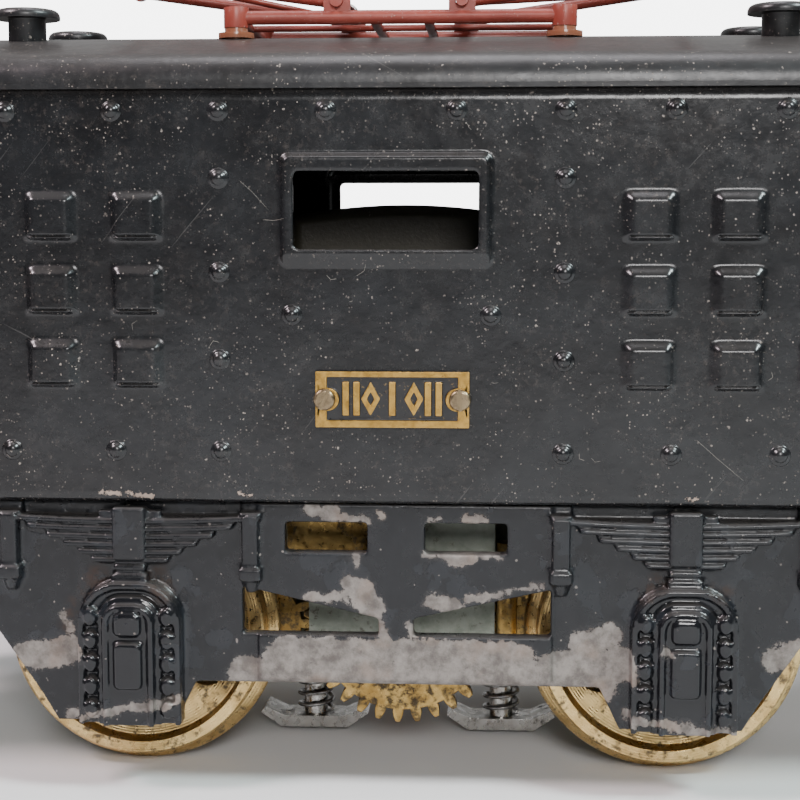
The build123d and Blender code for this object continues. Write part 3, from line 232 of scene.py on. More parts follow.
def enamel(name, dark, light, roughness=0.25, chips=False, dust=1.0):
    """Brushed enamel on metal: orange peel, smears, dust, specks, hairline scratches and chips."""
    s = Shader(name)
    smear = s.noise(0.07, 6, 0.65)
    colour = s.mix(s.step(smear, 0.35, 0.7), dark, light)
    film = s.maths("MULTIPLY", s.step(s.facing_up(), 0.25, 0.95), 0.10 * dust)
    film = s.maths("ADD", film, s.step(s.noise(0.30, 7, 0.8, shift=3.1), 0.50, 0.80, 0.0, 0.06 * dust))
    colour = s.mix(film, colour, (0.24, 0.21, 0.19))
    grime = s.step(s.noise(0.10, 5, 0.7, shift=1.7), 0.40, 0.66)
    tiny = s.maths("MULTIPLY", s.specks(0.34, 0.40, 0.40), s.maths("ADD", grime, 0.15, clamp=True))
    small = s.maths("MULTIPLY", s.specks(0.70, 0.26, 0.34, 0.2), s.maths("ADD", grime, 0.30, clamp=True))
    large = s.maths("MAXIMUM", s.specks(1.7, 0.12, 0.45, 0.4), s.specks(5.5, 0.045, 0.5, 0.9))
    dots = s.maths("MAXIMUM", s.maths("MAXIMUM", tiny, small), large)
    dots = s.maths("MULTIPLY", dots, s.step(s.noise(3.0, 3, 0.6, shift=2.6), 0.38, 0.62))
    dots = s.maths("MULTIPLY", dots, s.step(s.noise(0.35, 4, 0.6, shift=2.9), 0.35, 0.60, 0.25, 1.0))
    tint = s.mix(s.noise(0.8, 2, shift=2.0), (0.22, 0.17, 0.14), (0.55, 0.49, 0.43))
    colour = s.mix(s.maths("MULTIPLY", dots, 0.75 * dust), colour, tint)
    mottle = s.step(s.noise(1.1, 6, 0.75, shift=5.2), 0.50, 0.72)
    mottle = s.maths("MULTIPLY", mottle, s.step(s.noise(0.13, 4, 0.6, shift=6.4), 0.40, 0.62))
    colour = s.mix(s.maths("MULTIPLY", mottle, 0.10 * dust), colour, (0.26, 0.21, 0.18))
    scratch = s.maths("MAXIMUM", s.hairlines(0.9, 0.3), s.hairlines(-0.5, 0.7, 0.02))
    colour = s.mix(s.maths("MULTIPLY", scratch, 0.15), colour, (0.20, 0.19, 0.18))
    height = s.maths("ADD", s.noise(0.22, 3, 0.55), s.maths("MULTIPLY", s.noise(1.3, 4, 0.6), 0.22))
    normal = s.bump(height, 0.17, 0.5)
    if chips:
        even = s.maths("SUBTRACT", 0.5, s.maths("MULTIPLY", s.attribute("even"), 0.4))
        s.feed(normal.node.inputs["Strength"], even)
    normal = s.bump(dots, 0.02, 0.5, under=normal)
    rough = s.step(s.noise(0.35, 7, 0.8, shift=4.0), 0.30, 0.75, roughness - 0.04, roughness + 0.06)
    rough = s.maths("ADD", rough, s.maths("MULTIPLY", dots, 0.3), clamp=True)
    colour = s.mix(s.attribute("lint"), colour, (0.27, 0.25, 0.22))
    s.bsdf.inputs["Specular IOR Level"].default_value = 0.45
    if chips:
        ragged = s.maths("MULTIPLY", s.maths("SUBTRACT", s.noise(1.3, 6, 0.7, shift=6.0), 0.5), 1.6)
        bare = s.step(s.maths("ADD", s.attribute("bare"), ragged), 0.0, 0.08)
        metal = s.mix(s.noise(1.1, 4, shift=5.0), (0.36, 0.27, 0.21), (0.21, 0.17, 0.145))
        colour = s.mix(bare, colour, metal)
        rough = s.maths("ADD", rough, s.maths("MULTIPLY", bare, 0.3), clamp=True)
        normal = s.bump(s.maths("SUBTRACT", 1.0, bare), 0.06, 0.9, under=normal)
    s.set(Base_Color=colour, Roughness=rough, Normal=normal)
    return s.material


def flaking_enamel(name):
    """The castings' finish: glossy black paint that has come away in sheets, over dull zinc."""
    s = Shader(name)
    ragged = s.maths("MULTIPLY", s.maths("SUBTRACT", s.noise(0.7, 9, 0.80), 0.5), 3.4)
    whole = s.maths("SUBTRACT", s.attribute("mapped"), 1.0)  # -1 where no paint loss is mapped
    field = s.maths("ADD", s.maths("ADD", s.attribute("bare"), ragged), s.maths("MULTIPLY", whole, 0.85))
    bare = s.step(field, 0.0, 0.07)
    lifted = s.step(field, -0.45, -0.05)
    thin = s.step(s.noise(0.20, 5, 0.55, shift=2.2), 0.555, 0.575)
    stain = s.maths("MULTIPLY", s.attribute("stain"), s.step(s.noise(0.9, 5, 0.7, shift=8.0), 0.38, 0.62))

    paint = s.mix(s.noise(0.4, 5, 0.6, shift=1.0), (0.0045, 0.0048, 0.0058), (0.0110, 0.0118, 0.0140))
    paint = s.mix(s.maths("MULTIPLY", thin, 0.4), paint, (0.019, 0.022, 0.027))
    paint = s.mix(s.maths("MULTIPLY", lifted, 0.35), paint, (0.048, 0.045, 0.045))
    dots = s.maths("MAXIMUM", s.specks(1.5, 0.16, 0.35), s.specks(0.6, 0.25, 0.12, 0.3))
    paint = s.mix(s.maths("MULTIPLY", dots, 0.6), paint, (0.24, 0.21, 0.19))

    cloudy = s.step(s.noise(0.5, 6, 0.65, shift=3.0), 0.3, 0.7)
    zinc = s.mix(cloudy, (0.105, 0.092, 0.084), (0.25, 0.228, 0.208))
    zinc = s.mix(s.step(s.noise(1.6, 4, 0.7, shift=4.0), 0.60, 0.75, 0.0, 0.7), zinc, (0.075, 0.062, 0.056))
    zinc = s.mix(s.step(s.noise(0.18, 3, 0.5, shift=5.0), 0.52, 0.7, 0.0, 0.5), zinc, (0.24, 0.185, 0.15))

    colour = s.mix(bare, paint, zinc)
    colour = s.mix(s.maths("MULTIPLY", stain, 0.85), colour, (0.032, 0.018, 0.012))
    film = s.maths("MULTIPLY", s.step(s.facing_up(), 0.3, 0.95), 0.28)
    colour = s.mix(film, colour, (0.13, 0.118, 0.110))

    gloss = s.attribute("gloss")
    painted = s.step(s.noise(0.6, 5, 0.6, shift=6.0), 0.3, 0.75, 0.24, 0.42)
    painted = s.maths("SUBTRACT", painted, s.maths("MULTIPLY", gloss, 0.16))
    bright = s.step(s.noise(0.8, 5, 0.7, shift=7.0), 0.35, 0.7, 0.38, 0.68)
    mixed = s.node("ShaderNodeMix", data_type="FLOAT")
    s.feed(mixed.inputs["Factor"], bare)
    s.feed(mixed.inputs["A"], painted)
    s.feed(mixed.inputs["B"], bright)
    rough = s.maths("ADD", mixed.outputs["Result"], s.maths("MULTIPLY", stain, 0.3), clamp=True)

    height = s.maths("ADD", s.noise(0.35, 4, 0.6), s.maths("MULTIPLY", s.noise(2.0, 3, 0.6), 0.15))
    normal = s.bump(height, 0.13, 0.6)
    normal = s.bump(thin, 0.03, 0.6, under=normal)
    normal = s.bump(s.maths("SUBTRACT", 1.0, bare), 0.10, 1.0, under=normal)
    s.bsdf.inputs["Specular IOR Level"].default_value = 0.38
    s.set(Base_Color=colour, Roughness=rough, Normal=normal, Metallic=s.maths("MULTIPLY", bare, 0.45))
    return s.material


def metal(name, clean, dull, dirt_and_shade, roughness=0.32, grime=0.5, grain=None, lathe=False, per_mm=0.35):
    """Bare metal with tarnish, grime in patches, painted shade in inner corners, worn edges and turned or
    rolled grain.
    """
    s = Shader(name)
    tarnish = s.step(s.noise(per_mm, 6, 0.65), 0.35, 0.68)
    colour = s.mix(tarnish, clean, dull)
    edge = s.worn_edges()
    colour = s.mix(s.maths("MULTIPLY", edge, 0.6), colour, clean)
    grime_and_shade = s.step(s.noise(per_mm * 2.2, 7, 0.7, shift=2.0), 0.62 - 0.22 * grime, 0.74 - 0.16 * grime)
    grime_and_shade = s.maths("MULTIPLY", grime_and_shade, s.maths("SUBTRACT", 1.0, s.maths("MULTIPLY", edge, 0.8)))
    # inner corners darkened as well: painted shade, joined to the real grime patches
    grime_and_shade = s.maths("MAXIMUM", grime_and_shade, s.cavity_shade())
    colour = s.mix(s.maths("MULTIPLY", grime_and_shade, 0.85), colour, dirt_and_shade)
    rough = s.step(s.noise(per_mm * 3, 5, 0.6, shift=5.0), 0.3, 0.75, roughness - 0.07, roughness + 0.14)
    rough = s.maths("ADD", rough, s.maths("MULTIPLY", grime_and_shade, 0.3), clamp=True)
    normal = s.bump(s.noise(1.5, 4, 0.6), 0.02, 0.7)
    if lathe:
        rings = s.maths("SINE", s.maths("MULTIPLY", s.radius(), 2 * math.pi / (0.34 * MM)))
        rings = s.maths("ADD", rings, s.noise(0.8, 3))
        normal = s.bump(rings, 0.012, 0.7, under=normal)
    if grain:
        normal = s.bump(s.noise(1.0, 3, 0.6, stretch=grain), 0.03, 0.6, under=normal)
    metallic = s.maths("SUBTRACT", 1.0, s.maths("MULTIPLY", grime_and_shade, 0.75))
    s.set(Base_Color=colour, Roughness=rough, Normal=normal, Metallic=metallic)
    return s.material


def solid(name, dark, light, roughness, per_mm=0.5, ridges=0.06, stretch=None, dust=0.2):
    """Fibre, carbon, tape, glaze: a mottled solid with its own texture and a little dust."""
    s = Shader(name)
    colour = s.mix(s.noise(per_mm, 6, 0.65, stretch=stretch), dark, light)
    film = s.maths("MULTIPLY", s.step(s.facing_up(), 0.2, 0.95), dust)
    dots = s.specks(1.1, 0.16, 0.3)
    colour = s.mix(s.maths("MAXIMUM", film, s.maths("MULTIPLY", dots, 0.5)), colour, (0.22, 0.19, 0.165))
    rough = s.step(s.noise(per_mm * 2, 4, shift=3.0), 0.3, 0.7, roughness - 0.08, roughness + 0.1)
    normal = s.bump(s.noise(per_mm * 3, 5, 0.6, stretch=stretch), ridges, 0.8)
    s.set(Base_Color=colour, Roughness=rough, Normal=normal)
    return s.material


def glass(name, tint):
    """Old clear glass with a dusty film and faint waviness."""
    s = Shader(name)
    s.set(Base_Color=tint, Roughness=s.step(s.noise(0.6, 4), 0.3, 0.8, 0.03, 0.18), IOR=1.5)
    s.bsdf.inputs["Transmission Weight"].default_value = 0.9
    s.set(Normal=s.bump(s.noise(0.3, 2), 0.03, 0.5))
    return s.material


def lettered_brass(name):
    """The number plate: raised brass, and black enamel wherever the surface is sunk."""
    s = Shader(name)
    split = s.node("ShaderNodeSeparateXYZ")
    s.feed(split.inputs[0], s.place)
    out = s.maths("ABSOLUTE", split.outputs["Y"])
    worn = s.maths("MULTIPLY", s.maths("SUBTRACT", s.noise(2.2, 5, 0.7), 0.5), 0.00012)
    raised = s.step(s.maths("ADD", out, worn), (half_width + 0.58) * MM, (half_width + 0.62) * MM)
    tone = s.step(s.noise(0.8, 6, 0.7), 0.35, 0.7)
    brass = s.mix(tone, (0.50, 0.31, 0.085), (0.31, 0.18, 0.045))
    spots = s.step(s.noise(2.6, 5, 0.75, shift=3.0), 0.62, 0.7)
    brass = s.mix(s.maths("MULTIPLY", spots, 0.7), brass, (0.10, 0.065, 0.03))
    rubbed = s.step(s.noise(2.4, 5, 0.7, shift=1.0), 0.60, 0.70)
    black = s.mix(rubbed, (0.010, 0.010, 0.011), (0.20, 0.13, 0.05))
    rough = s.step(s.noise(1.5, 5, 0.6, shift=2.0), 0.3, 0.75, 0.27, 0.46)
    s.set(
        Base_Color=s.mix(raised, black, brass),
        Metallic=s.maths("MULTIPLY", raised, s.maths("SUBTRACT", 1.0, s.maths("MULTIPLY", spots, 0.7))),
        Roughness=rough,
        Normal=s.bump(s.noise(3.0, 4, 0.6), 0.015, 0.8),
    )
    return s.material


# grime colours, also used for the painted shade in metal's inner corners
steel_dirt_and_shade = (0.06, 0.04, 0.025)
oil_and_shade = (0.022, 0.014, 0.007)
materials = {
    "body_paint": enamel("body_enamel", (0.0042, 0.0044, 0.0052), (0.0095, 0.0105, 0.0120), chips=True),
    "roof_paint": enamel("roof_enamel", (0.006, 0.006, 0.0065), (0.011, 0.0115, 0.013), 0.34),
    "casting_paint": flaking_enamel("flaking_enamel"),
    "plate_brass": lettered_brass("number_plate_brass"),
    "wheel_brass": metal(
        "turned_brass", (0.72, 0.52, 0.24), (0.50, 0.34, 0.14), oil_and_shade, 0.30, 0.45, lathe=True
    ),
    "gear_brass": metal("oily_brass", (0.46, 0.31, 0.11), (0.27, 0.165, 0.05), oil_and_shade, 0.32, 0.75),
    "screw_steel": metal(
        "screw_steel", (0.27, 0.21, 0.13), (0.16, 0.12, 0.075), steel_dirt_and_shade, 0.34, 0.4, per_mm=1.0
    ),
    "plate_steel": metal(
        "zinc_plated_sheet", (0.31, 0.33, 0.285), (0.20, 0.22, 0.185), steel_dirt_and_shade, 0.50, 0.25
    ),
    "shaft_steel": metal("ground_steel", (0.52, 0.51, 0.49), (0.36, 0.34, 0.31), oil_and_shade, 0.28, 0.35),
    "lamination_steel": metal(
        "laminations", (0.20, 0.19, 0.18), (0.12, 0.10, 0.09), oil_and_shade, 0.45, 0.6, grain=(0.3, 6, 0.3)
    ),
    "coil_tape": solid("varnished_tape", (0.026, 0.023, 0.014), (0.056, 0.050, 0.034), 0.50, 0.8),
    "copper": metal(
        "copper", (0.80, 0.42, 0.27), (0.50, 0.22, 0.12), oil_and_shade, 0.30, 0.5, grain=(6, 0.3, 0.3)
    ),
    "carbon": solid("carbon", (0.02, 0.02, 0.021), (0.05, 0.05, 0.052), 0.45, 1.2),
    "fibre": solid(
        "vulcanised_fibre", (0.13, 0.050, 0.022), (0.26, 0.115, 0.050), 0.48, 0.6, 0.05, (0.3, 1.5, 1.5)
    ),
    "porcelain": solid("brown_glaze", (0.16, 0.055, 0.030), (0.26, 0.10, 0.055), 0.16, 0.3, 0.02),
    "lens_glass": glass("lens_glass", (0.93, 0.96, 0.96)),
    "bulb_glass": glass("bulb_glass", (0.97, 0.92, 0.80)),
    "rail_wire": metal(
        "nickelled_wire", (0.60, 0.58, 0.54), (0.40, 0.37, 0.33), steel_dirt_and_shade, 0.28, 0.4, per_mm=0.8
    ),
    "panto_steel": enamel("red_enamel", (0.19, 0.028, 0.018), (0.27, 0.050, 0.034), 0.40, dust=0.7),
    "spring_steel": metal(
        "spring_wire", (0.45, 0.45, 0.45), (0.28, 0.27, 0.26), oil_and_shade, 0.33, 0.4, per_mm=1.0
    ),
}
slot_of = {row["node"]: row["material_slot"] for row in frame["record"]["subparts"]}


# Mesh helpers -------------------------------------------------------------------------------------
def piece(name, points_mm, faces, slot, body, replaced=()):
    """A mesh piece from points in millimetres, with its material, body and the nodes it replaces."""
    mesh = bpy.data.meshes.new(name)
    mesh.from_pydata([tuple(p) for p in np.asarray(points_mm) * MM], [], faces)
    mesh.update()
    return placed(bpy.data.objects.new(name, mesh), slot, body, replaced)


def placed(made, slot, body, replaced=()):
    bpy.context.scene.collection.objects.link(made)
    made.data.materials.clear()
    made.data.materials.append(materials[slot])
    if made.type == "MESH":
        made.data.shade_smooth()
    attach(made, body)
    if replaced:
        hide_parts(*replaced)
    return made


def field(made, name, values):
    """Stores one number per vertex for the material to read."""
    layer = made.data.attributes.new(name, "FLOAT", "POINT")
    layer.data.foreach_set("value", np.asarray(values, dtype=np.float32))


def grid_lines(low, high, coarse, zones):
    """Positions from low to high, closer together inside the (start, end, spacing) zones."""
    marks = sorted({low, high, *(min(max(e, low), high) for a, b, _ in zones for e in (a, b))})
    out = []
    for a, b in zip(marks, marks[1:]):
        middle = (a + b) / 2
        step = min([coarse] + [s for start, end, s in zones if start < middle < end])
        count = max(1, math.ceil((b - a) / step - 1e-6))
        out.extend(a + (b - a) * i / count for i in range(count))
    return np.array(out + [high])


def ramp(distance, width):
    """0 outside, rising smoothly to 1 at width inside."""
    t = np.clip(distance / width, 0, 1)
    return t * t * (3 - 2 * t)


def inside(x, z, centre, size, r):
    """How far inside a rounded rectangle each point is; negative outside."""
    qx = np.abs(x - centre[0]) - size[0] / 2 + r
    qz = np.abs(z - centre[1]) - size[1] / 2 + r
    outside = np.hypot(np.maximum(qx, 0), np.maximum(qz, 0)) + np.minimum(np.maximum(qx, qz), 0)
    return r - outside


# Pressed panels -----------------------------------------------------------------------------------
class Panel:
    """What is pressed into one sheet, in millimetres along it and up it."""

    def __init__(self, width):
        self.width = width
        self.louvres, self.windows, self.grooves, self.rivets = [], [], [], []

    def window(self, x, z, w, h, rim_x, rim_z, proud, slope):
        self.windows.append(((x, z), (w, h), (w + 2 * rim_x, h + 2 * rim_z), proud, slope))

    def columns(self):
        zones = [(-self.width, self.width, 1.6)]
        for x, _ in self.louvres:
            zones.append((x - 3.5, x + 3.5, 0.3))
            zones += [(x - 3.5, x - 2.1, 0.17), (x + 2.1, x + 3.5, 0.17)]
        for (x, _), (w, _), (rim, _), _, slope in self.windows:
            for side in (-1, 1):
                opening, outer = x + side * w / 2, x + side * rim / 2
                zones.append((min(opening, outer) - 0.8, max(opening, outer) + 0.8, 0.2))
        for (x, _), (w, _) in self.grooves:
            zones += [(x + side * w / 2 - 0.5, x + side * w / 2 + 0.5, 0.15) for side in (-1, 1)]
        return grid_lines(-self.width, self.width, 1.6, zones)

    def rows(self, low, high, hem):
        zones = [(low, hem + 0.6, 0.2)]
        for z in {z for _, z in self.louvres}:
            zones += [(z - 3.3, z - 1.9, 0.09), (z + 1.6, z + 3.3, 0.17), (z - 2, z + 2, 0.4)]
        for (_, z), (_, h), (_, rim), _, slope in self.windows:
            for side in (-1, 1):
                opening, outer = z + side * h / 2, z + side * rim / 2
                zones.append((min(opening, outer) - 0.8, max(opening, outer) + 0.8, 0.2))
        for (_, z), (_, h) in self.grooves:
            zones += [(z + side * h / 2 - 0.5, z + side * h / 2 + 0.5, 0.15) for side in (-1, 1)]
        return grid_lines(low, high, 1.6, zones)

    def relief(self, x, z):
        """(soft relief, sharp relief) above the sheet at each point."""
        soft, sharp = np.zeros_like(x), np.zeros_like(x)
        for cx, cz in self.louvres:
            dx = np.abs(x - cx)
            up, down = cz + louvre_h / 2 - z, z - (cz - louvre_h / 2)
            edge = inside(x, z, (cx, cz - 0.12), (louvre_w + 0.7, louvre_h + 0.5), 1.3)
            soft += louvre_proud * ramp(louvre_w / 2 - dx, 1.45) * ramp(up, 1.5) * ramp(down, 0.8)
            soft += 0.06 * ramp(edge, 1.1)
            sharp -= 0.5 * np.exp(-(((down - 0.72) / 0.10) ** 2)) * ramp(2.75 - dx, 0.5)
        for centre, size, rim, proud, slope in self.windows:
            edge, down = inside(x, z, centre, rim, 1.5), z - centre[1] + rim[1] / 2
            soft += proud * np.minimum(ramp(edge, slope), ramp(down, 1.9 * slope))
            lip = np.abs(inside(x, z, centre, size, 0.8))
            sharp -= 0.06 * np.exp(-((lip / 0.16) ** 2))
        for centre, size in self.grooves:
            sharp -= 0.28 * np.exp(-((inside(x, z, centre, size, 0.8) / 0.16) ** 2))
        return soft, sharp


def cell_middles(a):
    return (a[:-1, :-1] + a[1:, :-1] + a[:-1, 1:] + a[1:, 1:]) / 4


def pressed_sheet(name, panel, low, high, hem, bend, body="chassis", replaced=()):
    """A closed sheet from a panel. bend gives each point's place and outward normal."""
    u, s = np.meshgrid(panel.columns(), panel.rows(low, high, hem), indexing="ij")
    keep = np.ones((u.shape[0] - 1, u.shape[1] - 1), bool)
    for centre, size, *_ in panel.windows:
        keep &= inside(cell_middles(u), cell_middles(s), centre, size, 0.8) < 0
    for centre, size, *_ in panel.windows:
        round_corners(u, s, keep, centre, size, 0.8)
    soft, sharp = panel.relief(u, s)
    place, normal = bend(u, s)
    front = place + normal * (soft + sharp)[..., None]
    back = place + normal * (soft - sheet)[..., None]
    count = u.size
    at = np.arange(count).reshape(u.shape)
    faces = []
    for offset, flip in ((0, False), (count, True)):
        quads = np.stack([at[:-1, :-1], at[1:, :-1], at[1:, 1:], at[:-1, 1:]], -1)[keep] + offset
        faces += (quads[:, ::-1] if flip else quads).tolist()
    faces += walls(at, keep, count)
    points = np.concatenate([front.reshape(-1, 3), back.reshape(-1, 3)])
    used = np.unique(np.array(faces).ravel())
    renumber = np.zeros(2 * count, int)
    renumber[used] = np.arange(len(used))
    faces = renumber[np.array(faces)].tolist()
    return piece(name, points[used], faces, "body_paint", body, replaced)


def round_corners(u, s, keep, centre, size, r):
    """Moves the opening's stepped corner points onto an arc."""
    padded = np.pad(keep, 1, constant_values=True)
    around = [padded[:-1, :-1], padded[1:, :-1], padded[:-1, 1:], padded[1:, 1:]]
    border = np.any(around, 0) & ~np.all(around, 0)
    qx, qz = np.abs(u - centre[0]) - size[0] / 2 + r, np.abs(s - centre[1]) - size[1] / 2 + r
    reach = np.hypot(qx, qz)
    close = border & (qx > 0) & (qz > 0) & (reach < r * 1.6)
    scale = np.where(close, r / np.maximum(reach, 1e-6), 1.0)
    side_x, side_z = np.sign(u - centre[0]), np.sign(s - centre[1])
    u[...] = np.where(close, centre[0] + side_x * (size[0] / 2 - r + qx * scale), u)
    s[...] = np.where(close, centre[1] + side_z * (size[1] / 2 - r + qz * scale), s)


def walls(at, keep, count):
    """Faces that join the front to the back along every border."""
    faces = []
    padded = np.pad(keep, 1, constant_values=False)
    inner = padded[1:-1, 1:-1]
    sides = [
        (padded[:-2, 1:-1], (0, 0), (0, 1)),
        (padded[2:, 1:-1], (1, 1), (1, 0)),
        (padded[1:-1, :-2], (1, 0), (0, 0)),
        (padded[1:-1, 2:], (0, 1), (1, 1)),
    ]
    for neighbour, start, end in sides:
        i, j = np.nonzero(inner & ~neighbour)
        a, b = at[i + start[0], j + start[1]], at[i + end[0], j + end[1]]
        faces += np.stack([a, b, b + count, a + count], -1).tolist()
    return faces


def side_bend(side):
    """Bends a side sheet round the body's corners and under at the hem."""
    straight = half_length - corner_r

    def bend(u, s):
        turn = np.clip(np.abs(u) - straight, 0, None) / corner_r
        x = np.sign(u) * (np.minimum(np.abs(u), straight) + corner_r * np.sin(turn))
        y = corner_r * (1 - np.cos(turn)) - half_width
        out_x, out_y = np.sign(u) * np.sin(turn), -np.cos(turn)
        start = body_bottom + hem_r
        under = np.clip((start - s) / hem_r, 0, math.pi / 2)
        lip = np.clip(start - s - hem_r * math.pi / 2, 0, None)
        inward = hem_r * (1 - np.cos(under)) + lip
        z = np.where(s > start, s, start - hem_r * np.sin(under))
        place = np.stack([body_x + x - out_x * inward, y - out_y * inward, z], -1)
        normal = np.stack([out_x * np.cos(under), out_y * np.cos(under), -np.sin(under)], -1)
        if side > 0:
            place[..., 1] *= -1
            normal[..., 1] *= -1
        return place, normal

    return bend


def end_bend(end):
    """Stands an end sheet up at one end of the body."""

    def bend(u, s):
        zero = np.zeros_like(u)
        place = np.stack([zero + body_x + end * half_length, end * u, s], -1)
        return place, np.stack([zero + end, zero, zero], -1)

    return bend


def side_panel_layout():
    panel = Panel(half_length - corner_r + corner_r * math.pi / 2)
    panel.louvres = [(side * x, z) for side in (-1, 1) for x in louvre_columns for z in louvre_rows]
    panel.window(window_x, window_z, window_w, window_h, 1.85, 2.35, 0.9, 0.95)
    for side in (-1, 1):
        panel.window(side * door_x, window_z, door_window, window_h, 1.3, 1.3, 0.6, 0.8)
        panel.grooves.append(((side * door_x, (door_low + door_high) / 2), (door_w, door_high - door_low)))
    low_row = [(rivet_column + rivet_pitch * i, rivet_rows[0]) for i in (1, 2, 3)]
    top_row = [(7.8 + rivet_pitch * i, 83.9) for i in range(5)]
    half = [(rivet_column, z) for z in rivet_rows] + [(59.4, z) for z in rivet_rows[1:]]
    half += [(11.95, 59.6)] + low_row + top_row
    panel.rivets = [(side * x, z) for side in (-1, 1) for x, z in half]
    return panel


def rivets(name, places, bend, body="chassis"):
    """Round rivet heads, each with a soft foot where the paint has filled in round it."""
    turns = 24
    profile = [(1.30, 0.0), (1.13, 0.04), (0.96, 0.12), (0.83, 0.27)]
    profile += [(0.68, 0.45), (0.46, 0.59), (0.22, 0.66), (0.0, 0.68)]
    points, faces = [], []
    for x, z in places:
        centre, out = bend(np.array([[x]]), np.array([[z]]))
        centre, out = Vector(centre[0, 0]), Vector(out[0, 0])
        along = Vector((0, 0, 1)).cross(out).normalized()
        tall = rng.uniform(0.92, 1.08)
        first = len(points)
        for r, h in [(1.25, -0.3)] + profile[:-1]:
            for k in range(turns):
                a = 2 * math.pi * k / turns
                offset = along * (r * math.cos(a)) + Vector((0, 0, r * math.sin(a))) + out * (h * tall)
                points.append(centre + offset)
        rings = len(profile)
        for ring in range(rings - 1):
            for k in range(turns):
                a, b = first + ring * turns + k, first + ring * turns + (k + 1) % turns
                faces.append((a, b, b + turns, a + turns))
        points.append(centre + out * (profile[-1][1] * tall))
        tip, last = len(points) - 1, first + (rings - 1) * turns
        faces += [(last + k, last + (k + 1) % turns, tip) for k in range(turns)]
        faces.append(tuple(first + k for k in reversed(range(turns))))
    made = piece(name, [tuple(p) for p in points], faces, "body_paint", body)
    field(made, "bare", np.full(len(points), -3.0))
    field(made, "even", np.ones(len(points)))
    return made


def lint():
    """Fine fibres and threads of dust caught on the near side, as thin bent strands."""
    near = side_bend(-1)
    strands = [
        [(-18.2, 75.7), (-16.6, 74.3), (-14.7, 72.2)],
        [(-3.0, 65.7), (-3.2, 64.9), (-4.1, 64.3)],
        [(21.3, 76.9), (21.9, 76.3), (21.6, 75.3), (20.9, 75.0)],
        [(-12.4, 71.2), (-14.0, 70.9), (-15.3, 71.0)],
        [(36.6, 44.8), (39.2, 42.5), (42.3, 39.9)],
    ]
    for _ in range(20):
        x, z, turn = rng.uniform(-70, 70), rng.uniform(40, 84), rng.uniform(0, math.pi)
        long, sway = rng.uniform(0.35, 1.5), rng.uniform(-0.35, 0.35)
        ends = [(k * long * math.cos(turn), k * long * math.sin(turn)) for k in (-0.5, 0.0, 0.5)]
        ends[1] = (sway * long * -math.sin(turn), sway * long * math.cos(turn))
        strands.append([(x + dx, z + dz) for dx, dz in ends])
    points, faces = [], []
    for strand in strands:
        thick = rng.uniform(0.012, 0.022)
        marks = np.linspace(0, len(strand) - 1, 9)
        fine = [np.interp(marks, range(len(strand)), part) for part in zip(*strand)]
        soft, sharp = layout.relief(*fine)
        place, out = near(*fine)
        centre = place + out * (soft + np.maximum(sharp, 0) + 0.6 * thick)[:, None]
        first = len(points)
        for at, (middle, normal) in enumerate(zip(centre, out)):
            ahead = centre[min(at + 1, 8)] - centre[max(at - 1, 0)]
            across = np.cross(normal, ahead)
            across /= max(np.linalg.norm(across), 1e-9)
            r = thick * (0.4 if at in (0, 8) else 1.0)
            for k in range(4):
                a = math.pi / 2 * k
                points.append(middle + r * (math.cos(a) * across + math.sin(a) * normal))
        for ring in range(8):
            for k in range(4):
                a, b = first + 4 * ring + k, first + 4 * ring + (k + 1) % 4
                faces.append((a, b, b + 4, a + 4))
        faces += [tuple(first + k for k in (3, 2, 1, 0)), tuple(first + 32 + k for k in range(4))]
    made = piece("lint", points, faces, "body_paint", "chassis")
    field(made, "bare", np.full(len(points), -3.0))
    field(made, "lint", np.ones(len(points)))


# Where paint is missing ---------------------------------------------------------------------------
def blob_field(points, blobs, warp_mm=0.55, seed=0.0):
    """How far inside the nearest blob each point is, in millimetres. A blob is a thick line in X and Z."""
    x, z = points[:, 0], points[:, 2]
    shift = np.array([noise.noise_vector(Vector((a * 0.45 + seed, seed, b * 0.45))) for a, b in zip(x, z)])
    x, z = x + warp_mm * shift[:, 0], z + warp_mm * shift[:, 2]
    best = np.full(len(x), -4.0)
    for x1, z1, x2, z2, r in blobs:
        length = max((x2 - x1) ** 2 + (z2 - z1) ** 2, 1e-9)
        t = np.clip(((x - x1) * (x2 - x1) + (z - z1) * (z2 - z1)) / length, 0, 1)
        best = np.maximum(best, r - np.hypot(x - x1 - t * (x2 - x1), z - z1 - t * (z2 - z1)))
    return best


def vertex_points(made):
    points = np.zeros(len(made.data.vertices) * 3)
    made.data.vertices.foreach_get("co", points)
    return points.reshape(-1, 3) / MM


